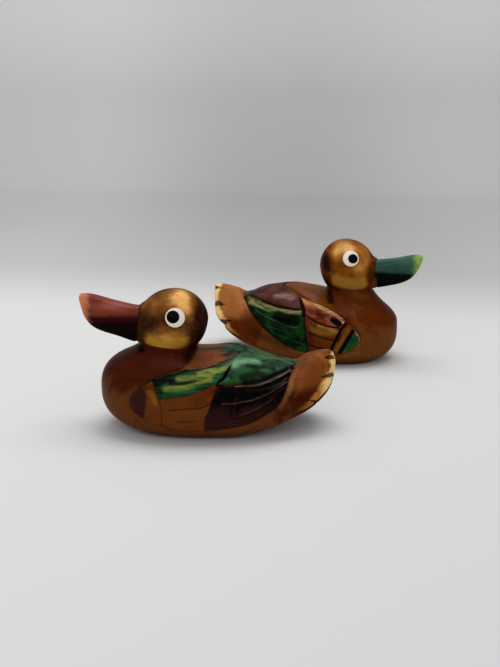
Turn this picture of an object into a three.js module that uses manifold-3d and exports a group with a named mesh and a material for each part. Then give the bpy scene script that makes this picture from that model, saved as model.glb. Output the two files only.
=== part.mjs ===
// A pair of carved wooden mandarin ducks.
// Each duck is one block of wood with a flat base: body, upswept tail, neck, head and bill,
// with folded wings whose feathers are cut as V grooves, and V nicks in the tail's rim.
// Millimetres, +Z up. A duck's own frame has +X towards its bill, +Y to its left, base at Z 0.

import * as THREE from 'three';
import { LoftGeometry } from 'three/addons/geometries/LoftGeometry.js';
import { mergeVertices } from 'three/addons/utils/BufferGeometryUtils.js';
import Module from 'manifold-3d';

const wasm = await Module();
wasm.setup();

// How finely the block is cut into sections, and each section into points.
const TAIL_SECTIONS = 21;
const NECK_SECTIONS = 8;
const HEAD_SECTIONS = 10;
const BILL_SECTIONS = 8;
const POINTS_AROUND = 24;
// A ray towards the surface is stepped along for REACH, then the crossing is halved down to a point.
const REACH = 62;
const MARCH_STEPS = 60;
const HALVINGS = 22;
const NORMAL_GAP = 0.2;
const THINNEST = 0.02;

// The carved pattern is laid out by x and by the angle seen from a line along the body.
const PATTERN_AXIS_HEIGHT = 18;
const DEGREES_PER_MM = 2;

// Knife cuts: depth, then the width of the slope on each side of the line.
const FEATHER_CUT = { depth: 0.9, left: 0.8, right: 0.8 };
const WING_CUT = { depth: 1.4, left: 0.7, right: 2.2 };
const STEP_CUT = { depth: 1.2, left: 0.6, right: 1.8 };
const CUT_LIFT = 0.4;
const CUT_SPACING = 8.4;
const CUT_END_SHARE = 0.25;
const NICK_CUT = { deepening: 0.42, beyondRim: 3, lift: 1.5, tipWidth: 0.08, tipDepth: 0.04 };

// Heights along the middle line are [x, z] pairs, half-widths are [x, width] pairs.
const redBillDuck = {
  tail: -77.5, breast: 60.2, halfWidth: 35.5,
  rearPlan: 1.95, frontPlan: 2.2, breastRound: 2.6, keelRound: 2.6, breastHeight: 25.6,
  upperRound: 2.3, lowerRound: 2.9,
  back: [[-77.5, 39.4], [-75.5, 44.3], [-72, 45.6], [-61.5, 43.2], [-54.3, 37.8], [-39, 41],
    [-18, 46.7], [0, 46.1], [20, 51], [60, 51]],
  rim: [[-77.5, 38.9], [-77, 33.9], [-74.7, 28.8], [-68.5, 22.9], [-58.5, 16.9], [-48.7, 15.2],
    [-20, 20], [0, 22], [60, 25.6]],
  keel: [[-77.5, 38.8], [-76.8, 33.1], [-74.7, 25.9], [-68.5, 18.7], [-58.5, 12.7], [-48.7, 7.9],
    [-39, 2.9], [-29.2, -0.2], [-15, -3], [60, -3]],
  head: { x: 15.8, z: 64.3, front: 21.4, rear: 18.8, side: 17, above: 18.3, below: 19 },
  neck: { lowX: 24.5, lowRadius: 23.1, lowSide: 19.5, highX: 19.3, highRadius: 15.5, highSide: 13.6 },
  cheekEdge: { napeZ: 49.6, chinZ: 52.5 },
  nape: [1.5, 47.3], chin: [38.6, 51.5],
  bill: {
    tip: 71.2, seam: [[36.6, 72], [38.6, 52]],
    top: [[20, 71.3], [36.3, 72.1], [50, 75.1], [67.2, 79.5], [70, 79.7], [71.2, 77.5]],
    under: [[20, 51.5], [36.3, 51.5], [50, 55.9], [63.2, 61.2], [68.2, 67.2], [70.4, 74.5], [71.2, 77.3]],
    width: [[20, 7.8], [36.3, 8], [50, 8.4], [60.2, 8.5], [66.2, 7.5], [69.7, 4.6], [71.2, 0.3]],
  },
  wing: {
    outline: [[-26, 82], [-20.6, 74], [-10.6, 55], [1.6, 46], [13.3, 40], [24.4, 36], [33.4, 29],
      [40, 19], [41.6, 9], [39.3, -2], [32, -9.5], [22, -14.5], [10, -18], [-2, -18], [-14, -15.5],
      [-28.5, -9], [-37.5, 0], [-43.6, 10], [-46.6, 21], [-48.6, 35], [-50.7, 53], [-53, 74]],
    shoulderBar: [[28, 32], [26.1, 23], [24.5, 14], [23.5, 4], [22.7, -12]],
    scapularEdge: [[23.5, 16], [11, 18], [-2.3, 25], [-8.1, 30]],
    notchStep: [[-8.6, 30], [-12.2, 37], [-14.5, 45], [-16.4, 52]],
    tertialEdge: [[-9.5, 29], [-22.7, 30], [-31.7, 33], [-39.6, 42], [-45, 53], [-49.5, 64]],
    coverts: [[21.6, 4], [2.2, 7], [-3.2, 10], [-6.7, 17]],
    primaryRoot: [[-8.6, 28], [-5.8, 16], [-3.5, 5], [-1.2, -6], [-0.7, -13]],
    primaries: [
      [[-10.8, 11], [-22.5, 12], [-31.6, 16], [-40.6, 25], [-46, 35]],
      [[-13.7, -3], [-22.5, 1], [-31.5, 6], [-38.7, 13]],
    ],
  },
  tailNicks: [
    { tip: [-68.9, 75.5], mouth: [-75.9, 83], widening: 0.45 },
    { tip: [-67.9, 48.2], mouth: [-74.8, 58], widening: 0.65 },
    { tip: [-59.4, 10.5], mouth: [-62.6, 7], widening: 0.3 },
  ],
};

const greenBillDuck = {
  tail: -79.5, breast: 55.9, halfWidth: 35.5,
  rearPlan: 1.95, frontPlan: 1.9, breastRound: 2.6, keelRound: 3.0, breastHeight: 24.7,
  upperRound: 2.3, lowerRound: 2.8,
  back: [[-79.5, 46], [-77.5, 46.8], [-74, 47.1], [-63, 45.3], [-55.7, 41.8], [-40, 47.8],
    [-18, 50.3], [0, 48.5], [20, 44.5], [60, 44.5]],
  rim: [[-79.5, 45.8], [-79, 37.8], [-76.7, 29.7], [-70.3, 23.6], [-60, 17.5], [-50, 15.5],
    [-20, 20], [0, 22], [60, 24.7]],
  keel: [[-79.5, 45.6], [-78.8, 37.1], [-76.7, 26.2], [-70.3, 20.4], [-60, 13], [-50, 8],
    [-40, 2.9], [-30, -0.2], [-15, -4], [60, -4]],
  head: { x: 17.3, z: 66.3, front: 21.2, rear: 17.6, side: 17, above: 19.3, below: 19 },
  neck: { lowX: 27, lowRadius: 25.5, lowSide: 19.5, highX: 20.7, highRadius: 15.5, highSide: 13.6 },
  cheekEdge: { napeZ: 50.8, chinZ: 52.8 },
  nape: [1.5, 49.7], chin: [38.6, 51.8],
  bill: {
    tip: 71.9, seam: [[39.8, 72], [41, 54]],
    top: [[20, 70.6], [36.3, 71.4], [50, 73.2], [67.9, 76.8], [70.7, 77], [71.9, 74.8]],
    under: [[20, 52.3], [36.3, 52.3], [50, 55], [63.9, 60.5], [68.9, 66.5], [71.1, 71.8], [71.9, 74.6]],
    width: [[20, 7.6], [36.3, 7.8], [50, 8.2], [60.9, 8.3], [66.9, 7.3], [70.4, 4.4], [71.9, 0.3]],
  },
  wing: {
    outline: [[-27.5, 82], [-20, 72], [-12.5, 61], [1.9, 44], [13.3, 36], [23.3, 30], [30, 23],
      [34, 15], [35.2, 6], [33.3, -4], [28, -11], [20, -15.5], [8, -16], [-2, -13.5], [-11.8, -9],
      [-23.1, -1], [-35.2, 15], [-41.5, 26], [-47, 38], [-51, 52], [-54.5, 68]],
    shoulderBar: [[24.2, 26], [22.3, 17], [20.4, 8], [15.5, -10]],
    scapularEdge: [[-3, 31], [5.1, 24], [15.7, 20], [22, 21]],
    notchStep: [[-4.5, 35], [-6.6, 42], [-8.8, 51], [-12.5, 61]],
    tertialEdge: [[-6.6, 37], [-13.6, 36.5], [-25.3, 40], [-38.5, 50], [-45, 59], [-50, 66]],
    coverts: [[-2, 14], [5.9, 8], [16.2, 5], [18.5, 4]],
    primaryRoot: [[-5, 34], [-3.2, 24], [-2, 14], [-0.7, 0], [0.3, -11]],
    primaries: [
      [[-3.2, 17], [-16.6, 19], [-32.4, 29], [-46.1, 43]],
      [[-0.7, -1], [-16.3, 4], [-26, 10], [-35.2, 18]],
    ],
  },
  tailNicks: [
    { tip: [-71.7, 80.8], mouth: [-78.7, 85], widening: 0.35 },
    { tip: [-66.2, 51.8], mouth: [-75.4, 57], widening: 0.65 },
    { tip: [-59.8, 20.8], mouth: [-66.7, 14], widening: 0.35 },
  ],
};

// Where each duck stands in the pair, and which way its bill points.
const redBillPlace = { x: -37.7, y: -71.3, turn: 181.3 };
const greenBillPlace = { x: 40, y: 66.1, turn: -16.9 };

// Soft limits of the blends between the carved masses.
const NECK_BLEND = 7;
const NAPE_BLEND = 1.2;
const NAPE_BLEND_START = 7;
const NAPE_BLEND_LENGTH = 12;
const HEAD_BLEND = 0.8;
const BILL_BLEND = 1.2;
// The head runs forward over the bill's root as a collar that stands a little proud of the bill.
const COLLAR = { proud: 0.7, blend: 4, edge: 0.5 };
// Towards its end the tail's top turns from a rounded back into a flat-sided roof.
const TAIL_ROOF = { startX: -52, endX: -66, round: 1.5 };
const HEAD_LEAN = 0.15;
const HEAD_LEAN_DEPTH = 20;
const HEAD_HALF_BLEND = 2.5;
const CHEEK_ROUND = 2.7;
const CHEEK_EDGE = { backX: 5, length: 32, blend: 0.4 };
const NECK_FOOT = 30;
const NECK_HEAD = 52;
const NECK_INSIDE_HEAD = 6;
const NECK_ROUND = 2.2;
const BILL_BACK = 20;
const BILL_FACET = { taper: 0.42, power: 1.25, slope: 0.5, round: 1.6, roundShare: 0.35, leastRound: 0.05 };

// How the section planes are spread: closer at the tail and the bill's tip, and held off the
// nape and the chin, about which they turn.
const TAIL_CROWDING = 0.55;
const TIP_CROWDING = 0.9;
const END_GAP = 0.05;
const SPINE_HEIGHT = 23;
const SPINE_LIFT_LENGTH = 20;
const TURN_OFFSET = 0.5;
const NECK_SWELL = 5;
const HEAD_SWELL = 4.5;

// The block of waste that is sawn away under the base.
const WASTE = { length: 300, width: 200, height: 60 };

// A smooth curve through [place, size] pairs that never overshoots them.
function smoothCurve(pairs) {
  const xs = pairs.map((pair) => pair[0]);
  const ys = pairs.map((pair) => pair[1]);
  const slopes = xs.slice(1).map((x, i) => (ys[i + 1] - ys[i]) / (x - xs[i]));
  const tangents = xs.map((x, i) => {
    if (i === 0) return slopes[0];
    if (i === xs.length - 1) return slopes[i - 1];
    const [before, after] = [slopes[i - 1], slopes[i]];
    if (before * after <= 0) return 0;
    const [wide, near] = [xs[i + 1] - xs[i], xs[i] - xs[i - 1]];
    return (3 * (wide + near)) / ((2 * wide + near) / before + (wide + 2 * near) / after);
  });
  return (x) => {
    if (x <= xs[0]) return ys[0];
    if (x >= xs[xs.length - 1]) return ys[ys.length - 1];
    const i = xs.findIndex((place) => place > x) - 1;
    const step = xs[i + 1] - xs[i];
    const t = (x - xs[i]) / step;
    const rise = t * t * (3 - 2 * t);
    return ys[i] + (ys[i + 1] - ys[i]) * rise
      + step * t * (1 - t) * ((1 - t) * tangents[i] - t * tangents[i + 1]);
  };
}

const clamp = (value, low, high) => Math.min(Math.max(value, low), high);

// The smaller of two distances, rounded off over a width k where they cross.
function smoothMin(a, b, k) {
  const h = clamp(0.5 + (0.5 * (b - a)) / k, 0, 1);
  return b + (a - b) * h - k * h * (1 - h);
}

// Distance outside a rounded box of half-sizes w and h, measured along the ray from its middle.
function roundedBox(u, v, w, h, power) {
  const scale = (Math.abs(u / w) ** power + Math.abs(v / h) ** power) ** (1 / power);
  const radius = Math.hypot(u, v);
  return radius - radius / Math.max(scale, 1e-9);
}

// The body's top, rim and keel heights and its half-width at each x.
function bodyProfile(duck) {
  const [back, rim, keel] = [duck.back, duck.rim, duck.keel].map(smoothCurve);
  return (x) => {
    const forward = clamp(x / duck.breast, 0, 1);
    const ease = (z, round) => {
      if (x <= 0) return z;
      const closing = Math.max(1 - forward ** round, 1e-9) ** (1 / round);
      return duck.breastHeight + (z - duck.breastHeight) * closing;
    };
    const top = ease(back(x), duck.breastRound);
    const bottom = ease(keel(x), duck.keelRound);
    const power = x < 0 ? duck.rearPlan : duck.frontPlan;
    const along = clamp(x < 0 ? x / duck.tail : x / duck.breast, 0, 1);
    const width = Math.max(duck.halfWidth * Math.max(1 - along ** power, 1e-9) ** (1 / power), THINNEST);
    return { top, bottom, width, middle: clamp(rim(x), bottom + THINNEST, top - THINNEST) };
  };
}

// Signed distance to the whole duck, less than zero inside the wood.
function duckField(duck) {
  const profile = bodyProfile(duck);
  const { bill } = duck;
  const [billTop, billUnder, billWidth] = [bill.top, bill.under, bill.width].map(smoothCurve);
  const { head, neck, cheekEdge } = duck;

  const body = (x, y, z) => {
    const { top, bottom, width, middle } = profile(x);
    const above = z > middle;
    const height = Math.max(above ? top - middle : middle - bottom, THINNEST);
    const beyond = Math.max(x - duck.breast, 0) + Math.max(duck.tail - x, 0);
    const t = clamp((x - TAIL_ROOF.startX) / (TAIL_ROOF.endX - TAIL_ROOF.startX), 0, 1);
    const upper = duck.upperRound + (TAIL_ROOF.round - duck.upperRound) * t * t * (3 - 2 * t);
    return roundedBox(y, z - middle, width, height, above ? upper : duck.lowerRound) + beyond;
  };

  const neckField = (x, y, z) => {
    const rise = clamp((z - NECK_FOOT) / (NECK_HEAD - NECK_FOOT), 0, 1);
    const centre = neck.lowX + (neck.highX - neck.lowX) * rise;
    const radius = neck.lowRadius + (neck.highRadius - neck.lowRadius) * rise;
    const side = neck.lowSide + (neck.highSide - neck.lowSide) * rise;
    const beyond = Math.max(NECK_FOOT - z, 0) + Math.max(z - NECK_HEAD - NECK_INSIDE_HEAD, 0);
    return roundedBox(y, x - centre, side, radius, NECK_ROUND) + beyond;
  };

  const billField = (x, y, z) => {
    const [top, under] = [billTop(x), billUnder(x)];
    const middle = (top + under) / 2;
    const height = Math.max((top - under) / 2, THINNEST);
    const width = Math.max(billWidth(x), THINNEST);
    const rise = clamp(Math.abs(z - middle) / height, 0, 1.5);
    const ridge = width * (1 - BILL_FACET.taper * rise ** BILL_FACET.power);
    const sides = (Math.abs(y) - ridge) / Math.hypot(1, (BILL_FACET.slope * width) / height);
    const flats = Math.abs(z - middle) - height;
    const rounding = Math.min(
      BILL_FACET.round, BILL_FACET.roundShare * Math.min(width, height) + BILL_FACET.leastRound);
    const beyond = Math.max(x - duck.bill.tip, 0) + Math.max(BILL_BACK - x, 0);
    return -smoothMin(-sides, -flats, rounding) + beyond;
  };

  const [[upperX, upperZ], [lowerX, lowerZ]] = bill.seam;
  const seamX = (z) => upperX + ((lowerX - upperX) * (z - upperZ)) / (lowerZ - upperZ);

  const headField = (x, y, z) => {
    const centre = head.x + HEAD_LEAN * clamp(head.z - z, 0, HEAD_LEAN_DEPTH);
    const forward = 0.5 + 0.5 * clamp((x - centre) / HEAD_HALF_BLEND, -1, 1);
    const length = head.rear + (head.front - head.rear) * forward;
    const power = z > head.z ? 2 : CHEEK_ROUND;
    const height = z > head.z ? head.above : head.below;
    const plan = Math.hypot((x - centre) / length, y / head.side);
    const scale = (plan ** power + Math.abs((z - head.z) / height) ** power) ** (1 / power);
    const radius = Math.hypot(x - centre, y, z - head.z);
    const ball = radius - radius / Math.max(scale, 1e-9);
    const collar = -smoothMin(COLLAR.proud - billField(x, y, z), seamX(z) - x, COLLAR.edge);
    const whole = smoothMin(ball, collar, COLLAR.blend);
    const slope = (cheekEdge.chinZ - cheekEdge.napeZ) / CHEEK_EDGE.length;
    const underCheek = cheekEdge.napeZ + (x - CHEEK_EDGE.backX) * slope - z;
    return -smoothMin(-whole, -underCheek, CHEEK_EDGE.blend);
  };

  return (x, y, z) => {
    const softness = clamp((x - duck.nape[0] - NAPE_BLEND_START) / NAPE_BLEND_LENGTH, 0, 1);
    const blend = NAPE_BLEND + (NECK_BLEND - NAPE_BLEND) * softness;
    let distance = smoothMin(body(x, y, z), neckField(x, y, z), blend);
    distance = smoothMin(distance, headField(x, y, z), HEAD_BLEND);
    return smoothMin(distance, billField(x, y, z), BILL_BLEND);
  };
}

// The place where a ray leaves the wood: the first such place, or the last one before REACH.
function surfacePoint(field, start, direction, last = false) {
  const at = (reach) => start.clone().addScaledVector(direction, reach);
  const inside = (reach) => {
    const point = at(reach);
    return field(point.x, point.y, point.z) < 0;
  };
  const stride = REACH / MARCH_STEPS;
  let step = last ? MARCH_STEPS : 1;
  if (last) while (step > 1 && !inside(stride * (step - 1))) step -= 1;
  else while (step < MARCH_STEPS && inside(stride * step)) step += 1;
  let low = stride * (step - 1);
  let high = stride * step;
  for (let i = 0; i < HALVINGS; i += 1) {
    const middle = (low + high) / 2;
    if (inside(middle)) low = middle;
    else high = middle;
  }
  return at((low + high) / 2);
}

// Section planes from tail to bill: upright along the body, turning about the nape up through
// the neck, turning back about the chin through the head, then upright along the bill.
function sectionPlanes(duck) {
  const profile = bodyProfile(duck);
  const [billTop, billUnder] = [duck.bill.top, duck.bill.under].map(smoothCurve);
  const [napeX, napeZ] = duck.nape;
  const [chinX, chinZ] = duck.chin;
  const link = Math.atan2(chinZ - napeZ, chinX - napeX);
  const span = Math.hypot(chinX - napeX, chinZ - napeZ);
  const planes = [];
  const addPlane = (x, z, upX, upZ) => planes.push({
    centre: new THREE.Vector3(x, 0, z),
    up: new THREE.Vector3(upX, 0, upZ),
  });
  const addTurned = (x, z, arm, angle, sign) => {
    const [cos, sin] = [Math.cos(angle), Math.sin(angle)];
    addPlane(x + arm * cos, z + arm * sin, sign * cos, sign * sin);
  };
  for (let i = 0; i < TAIL_SECTIONS; i += 1) {
    const t = i / TAIL_SECTIONS;
    const x = duck.tail + END_GAP + (napeX - duck.tail) * (TAIL_CROWDING * t * t + (1 - TAIL_CROWDING) * t);
    const { top, bottom } = profile(x);
    const lift = clamp((x + SPINE_LIFT_LENGTH) / (napeX + SPINE_LIFT_LENGTH), 0, 1);
    const middle = (top + bottom) / 2;
    addPlane(x, middle + (SPINE_HEIGHT - middle) * lift, 0, 1);
  }
  for (let i = 0; i < NECK_SECTIONS; i += 1) {
    const t = i / NECK_SECTIONS;
    const angle = -Math.PI / 2 + (link + Math.PI / 2) * t;
    const low = napeZ - SPINE_HEIGHT;
    const high = span / 2 + TURN_OFFSET;
    const arm = low + (high - low) * t * t * (3 - 2 * t) + NECK_SWELL * Math.sin(Math.PI * t);
    addTurned(napeX, napeZ, arm, angle, -1);
  }
  for (let i = 0; i < HEAD_SECTIONS; i += 1) {
    const t = i / HEAD_SECTIONS;
    const angle = link + Math.PI + (-Math.PI / 2 - link) * t;
    const low = span / 2 - TURN_OFFSET;
    const high = (billTop(chinX) + billUnder(chinX)) / 2 - chinZ;
    const arm = low + (high - low) * t * t * (3 - 2 * t) + HEAD_SWELL * Math.sin(Math.PI * t);
    addTurned(chinX, chinZ, arm, angle, 1);
  }
  for (let i = 0; i < BILL_SECTIONS; i += 1) {
    const t = Math.sin((Math.PI / 2) * (i / (BILL_SECTIONS - 1))) ** TIP_CROWDING;
    const x = chinX + (duck.bill.tip - 2 * END_GAP - chinX) * t;
    addPlane(x, (billTop(x) + billUnder(x)) / 2, 0, 1);
  }
  return planes;
}

// The rings of points where those planes cut the duck's surface, closed to a point at each end.
function duckSections(duck, field) {
  const rings = sectionPlanes(duck).map(({ centre, up }) => {
    const ring = [];
    for (let j = 0; j < POINTS_AROUND; j += 1) {
      const angle = (2 * Math.PI * j) / POINTS_AROUND;
      const direction = up.clone().multiplyScalar(Math.cos(angle));
      direction.y = Math.sin(angle);
      ring.push(surfacePoint(field, centre, direction));
    }
    return ring;
  });
  const tip = (ring) => {
    const middle = new THREE.Vector3();
    ring.forEach((point) => middle.addScaledVector(point, 1 / ring.length));
    return ring.map(() => middle.clone());
  };
  return [tip(rings[0]), ...rings, tip(rings[rings.length - 1])];
}

// True where a ring runs anticlockwise as seen from the ring after it.
function runsAnticlockwise(ring, next) {
  const area = new THREE.Vector3();
  const onward = new THREE.Vector3();
  ring.forEach((point, i) => {
    area.add(point.clone().cross(ring[(i + 1) % ring.length]));
    onward.add(next[i]).sub(point);
  });
  return area.dot(onward) > 0;
}

// A closed solid through a row of rings, whichever way round they are wound.
function loftSolid(sections, caps) {
  const half = Math.floor((sections.length - 1) / 2);
  const outward = runsAnticlockwise(sections[half], sections[half + 1]);
  const rings = outward ? sections : sections.map((ring) => [...ring].reverse());
  return geometrySolid(new LoftGeometry(rings, { closed: true, capStart: caps, capEnd: caps }));
}

// The solid inside a closed geometry: points that coincide are merged, and the triangles that
// this leaves without area are dropped.
function geometrySolid(source) {
  const bare = new THREE.BufferGeometry();
  bare.setAttribute('position', source.attributes.position);
  bare.setIndex(source.index);
  const merged = mergeVertices(bare, 1e-4);
  const corners = merged.index.array;
  const kept = [];
  for (let i = 0; i < corners.length; i += 3) {
    const [a, b, c] = corners.slice(i, i + 3);
    if (a !== b && b !== c && c !== a) kept.push(a, b, c);
  }
  return new wasm.Manifold(new wasm.Mesh({
    numProp: 3,
    vertProperties: new Float32Array(merged.attributes.position.array),
    triVerts: new Uint32Array(kept),
  }));
}

// The triangles of the largest connected body. Where two knife cuts cross, a loose chip can be
// left between them, and it is cleared away as a carver would.
function withoutChips(corners, vertexCount) {
  const parent = Array.from({ length: vertexCount }, (_, i) => i);
  const root = (i) => {
    let at = i;
    while (parent[at] !== at) at = parent[at];
    parent[i] = at;
    return at;
  };
  for (let i = 0; i < corners.length; i += 3) {
    parent[root(corners[i + 1])] = root(corners[i]);
    parent[root(corners[i + 2])] = root(corners[i]);
  }
  const bodies = new Map();
  for (let i = 0; i < corners.length; i += 3) {
    const body = root(corners[i]);
    if (!bodies.has(body)) bodies.set(body, []);
    bodies.get(body).push(corners[i], corners[i + 1], corners[i + 2]);
  }
  return [...bodies.values()].reduce((most, body) => (body.length > most.length ? body : most));
}

function solidGeometry(solid) {
  const { vertProperties, triVerts } = solid.getMesh();
  const cut = new THREE.BufferGeometry();
  cut.setAttribute('position', new THREE.BufferAttribute(new Float32Array(vertProperties), 3));
  cut.setIndex(withoutChips(triVerts, vertProperties.length / 3));
  const geometry = cut.toNonIndexed();
  geometry.computeVertexNormals();
  return geometry;
}

// The surface point and its outward normal at a place in the carved pattern.
function patternPoint(field, x, degrees, side) {
  const angle = THREE.MathUtils.degToRad(degrees);
  const direction = new THREE.Vector3(0, side * Math.cos(angle), Math.sin(angle));
  const point = surfacePoint(field, new THREE.Vector3(x, 0, PATTERN_AXIS_HEIGHT), direction, true);
  const { x: px, y: py, z: pz } = point;
  const normal = new THREE.Vector3(
    field(px + NORMAL_GAP, py, pz) - field(px - NORMAL_GAP, py, pz),
    field(px, py + NORMAL_GAP, pz) - field(px, py - NORMAL_GAP, pz),
    field(px, py, pz + NORMAL_GAP) - field(px, py, pz - NORMAL_GAP),
  ).normalize();
  return { point, normal };
}

// A V-shaped cutter that follows a pattern line over the surface. The line's left side is the
// side of the feather that stands proud, the right side the one that slopes down to it.
function grooveCutter(field, line, side, cut) {
  const path = new THREE.CatmullRomCurve3(
    line.map(([x, degrees]) => new THREE.Vector3(x, degrees / DEGREES_PER_MM, 0)), false, 'centripetal');
  const steps = Math.max(3, Math.round(path.getLength() / CUT_SPACING));
  const places = path.getSpacedPoints(steps)
    .map((place) => patternPoint(field, place.x, place.y * DEGREES_PER_MM, side));
  const sections = places.map(({ point, normal }, i) => {
    const before = places[Math.max(i - 1, 0)].point;
    const after = places[Math.min(i + 1, steps)].point;
    const along = after.clone().sub(before).normalize();
    const left = normal.clone().cross(along).normalize().multiplyScalar(side);
    const end = i === 0 || i === steps;
    const depth = end ? CUT_END_SHARE * cut.depth : cut.depth;
    const grow = (cut.depth + CUT_LIFT) / cut.depth;
    const lifted = point.clone().addScaledVector(normal, CUT_LIFT);
    return [
      point.clone().addScaledVector(normal, -depth),
      lifted.clone().addScaledVector(left, cut.left * grow),
      lifted.clone().addScaledVector(left, -cut.right * grow),
    ];
  });
  return loftSolid(sections, true);
}

// A V nick in the tail's rim: from nothing at its point it widens and deepens past the rim.
function nickCutter(field, { tip, mouth, widening }, side) {
  const { point, normal } = patternPoint(field, tip[0], tip[1], side);
  const onward = patternPoint(field, mouth[0], mouth[1], side).point.sub(point);
  const length = onward.length() + NICK_CUT.beyondRim;
  onward.normalize();
  const across = normal.clone().cross(onward).normalize();
  const ring = (share) => {
    const middle = point.clone().addScaledVector(onward, length * share);
    const lifted = middle.clone().addScaledVector(normal, NICK_CUT.lift);
    const spread = widening * length * (share + NICK_CUT.tipWidth);
    const depth = NICK_CUT.deepening * length * (share + NICK_CUT.tipDepth);
    return [
      middle.clone().addScaledVector(normal, -depth),
      lifted.clone().addScaledVector(across, spread),
      lifted.clone().addScaledVector(across, -spread),
    ];
  };
  return loftSolid([ring(0), ring(1)], true);
}

// All the knife cuts on one duck, left and right alike.
function knifeCuts(duck, field) {
  const { wing } = duck;
  const cuts = [];
  for (const side of [1, -1]) {
    cuts.push(grooveCutter(field, wing.outline, side, WING_CUT));
    cuts.push(grooveCutter(field, wing.notchStep, side, STEP_CUT));
    cuts.push(grooveCutter(field, wing.tertialEdge, side, STEP_CUT));
    const lines = [wing.shoulderBar, wing.scapularEdge, wing.coverts, wing.primaryRoot, ...wing.primaries];
    lines.forEach((line) => cuts.push(grooveCutter(field, line, side, FEATHER_CUT)));
    duck.tailNicks.forEach((nick) => cuts.push(nickCutter(field, nick, side)));
  }
  return cuts;
}

// The whole duck: the lofted block, sawn flat at the base, less the knife cuts.
function duckSolid(duck) {
  const field = duckField(duck);
  const block = loftSolid(duckSections(duck, field), false);
  const below = new THREE.BoxGeometry(WASTE.length, WASTE.width, WASTE.height)
    .translate(0, 0, -WASTE.height / 2);
  let solid = block.subtract(geometrySolid(below));
  knifeCuts(duck, field).forEach((cutter) => {
    solid = solid.subtract(cutter);
  });
  return solid;
}

function duckMesh(name, duck, colour, place) {
  const stain = new THREE.MeshStandardMaterial({ color: colour, roughness: 0.4, metalness: 0 });
  const mesh = new THREE.Mesh(solidGeometry(duckSolid(duck)), stain);
  mesh.name = name;
  mesh.position.set(place.x, place.y, 0);
  mesh.rotation.z = THREE.MathUtils.degToRad(place.turn);
  return mesh;
}

const pair = new THREE.Group();
pair.add(duckMesh('duck_with_red_bill', redBillDuck, 0x7a4420, redBillPlace));
pair.add(duckMesh('duck_with_green_bill', greenBillDuck, 0x80501f, greenBillPlace));

export default pair;
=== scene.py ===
"""A pair of carved and painted wooden mandarin ducks on a pale table.

Each duck is one carved skin: the same masses as the solid model, with the knife work, the worn
edges, the painted areas and some painted highlights and shade added. Sizes are in millimetres
here and are divided by 1000 when a mesh is made. A duck's own frame has +X towards its bill,
+Y to its left, and its base at Z 0.
"""

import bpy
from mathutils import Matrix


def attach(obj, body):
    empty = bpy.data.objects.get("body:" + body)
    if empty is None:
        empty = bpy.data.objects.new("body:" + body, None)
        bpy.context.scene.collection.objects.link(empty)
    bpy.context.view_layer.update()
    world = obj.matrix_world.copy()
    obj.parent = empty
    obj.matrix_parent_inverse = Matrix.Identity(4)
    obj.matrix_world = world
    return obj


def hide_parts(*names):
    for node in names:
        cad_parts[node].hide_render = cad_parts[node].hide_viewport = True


bl_info = {
    "name": "Carved Mandarin Ducks",
    "version": (1, 0, 0),
    "blender": (4, 5, 0),
    "location": "View3D > Sidebar > Ducks",
    "description": "Makes a pair of carved, stained and painted wooden ducks",
    "category": "Add Mesh",
}

import bpy
import numpy as np

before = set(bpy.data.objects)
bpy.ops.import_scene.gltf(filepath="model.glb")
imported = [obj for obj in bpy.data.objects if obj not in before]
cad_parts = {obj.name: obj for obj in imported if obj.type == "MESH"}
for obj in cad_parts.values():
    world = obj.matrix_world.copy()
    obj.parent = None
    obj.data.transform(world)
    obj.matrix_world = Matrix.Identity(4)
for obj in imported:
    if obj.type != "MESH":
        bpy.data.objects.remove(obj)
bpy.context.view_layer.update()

MM = 0.001
# The thinnest that a form may be, and the distances given to what is out of a mark's reach.
THIN = 0.02
FAR = 9.0
VERY_FAR = 30.0
# The line along the body from which the carved pattern is seen, and what turns its angles into mm.
PATTERN_HEIGHT = 18.0
PATTERN_RADIUS = 30.0

# The carved forms. back, rim, keel, bill_top and bill_under are (x, z) profiles, bill_width is
# (x, half-width), and the names in _round and _plan are the powers of the rounded curves.
RED_FORM = dict(
    tail=-77.5, breast=60.2, half_width=35.5, rear_plan=1.95, front_plan=2.2, breast_round=2.6,
    keel_round=2.6, breast_height=25.6, upper_round=2.3, lower_round=2.9,
    back=[(-77.5, 39.4), (-75.5, 44.3), (-72, 45.6), (-61.5, 43.2), (-54.3, 37.8), (-39, 41),
          (-18, 46.7), (0, 46.1), (20, 51), (60, 51)],
    rim=[(-77.5, 38.9), (-77, 33.9), (-74.7, 28.8), (-68.5, 22.9), (-58.5, 16.9), (-48.7, 15.2),
         (-20, 20), (0, 22), (60, 25.6)],
    keel=[(-77.5, 38.8), (-76.8, 33.1), (-74.7, 25.9), (-68.5, 18.7), (-58.5, 12.7), (-48.7, 7.9),
          (-39, 2.9), (-29.2, -0.2), (-15, -3), (60, -3)],
    head=dict(x=15.8, z=64.3, front=21.4, rear=18.8, side=17, above=18.3, below=19),
    neck=dict(low_x=24.5, low_r=23.1, low_side=19.5, high_x=19.3, high_r=15.5, high_side=13.6),
    cheek_edge=(49.6, 52.5), nape=(1.5, 47.3), chin=(38.6, 51.5), bill_tip=71.2,
    seam=((36.6, 72), (38.6, 52)),
    bill_top=[(20, 71.3), (36.3, 72.1), (50, 75.1), (67.2, 79.5), (70, 79.7), (71.2, 77.5)],
    bill_under=[(20, 51.5), (36.3, 51.5), (50, 55.9), (63.2, 61.2), (68.2, 67.2), (70.4, 74.5),
                (71.2, 77.3)],
    bill_width=[(20, 7.8), (36.3, 8), (50, 8.4), (60.2, 8.5), (66.2, 7.5), (69.7, 4.6),
                (71.2, 0.3)],
)
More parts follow.
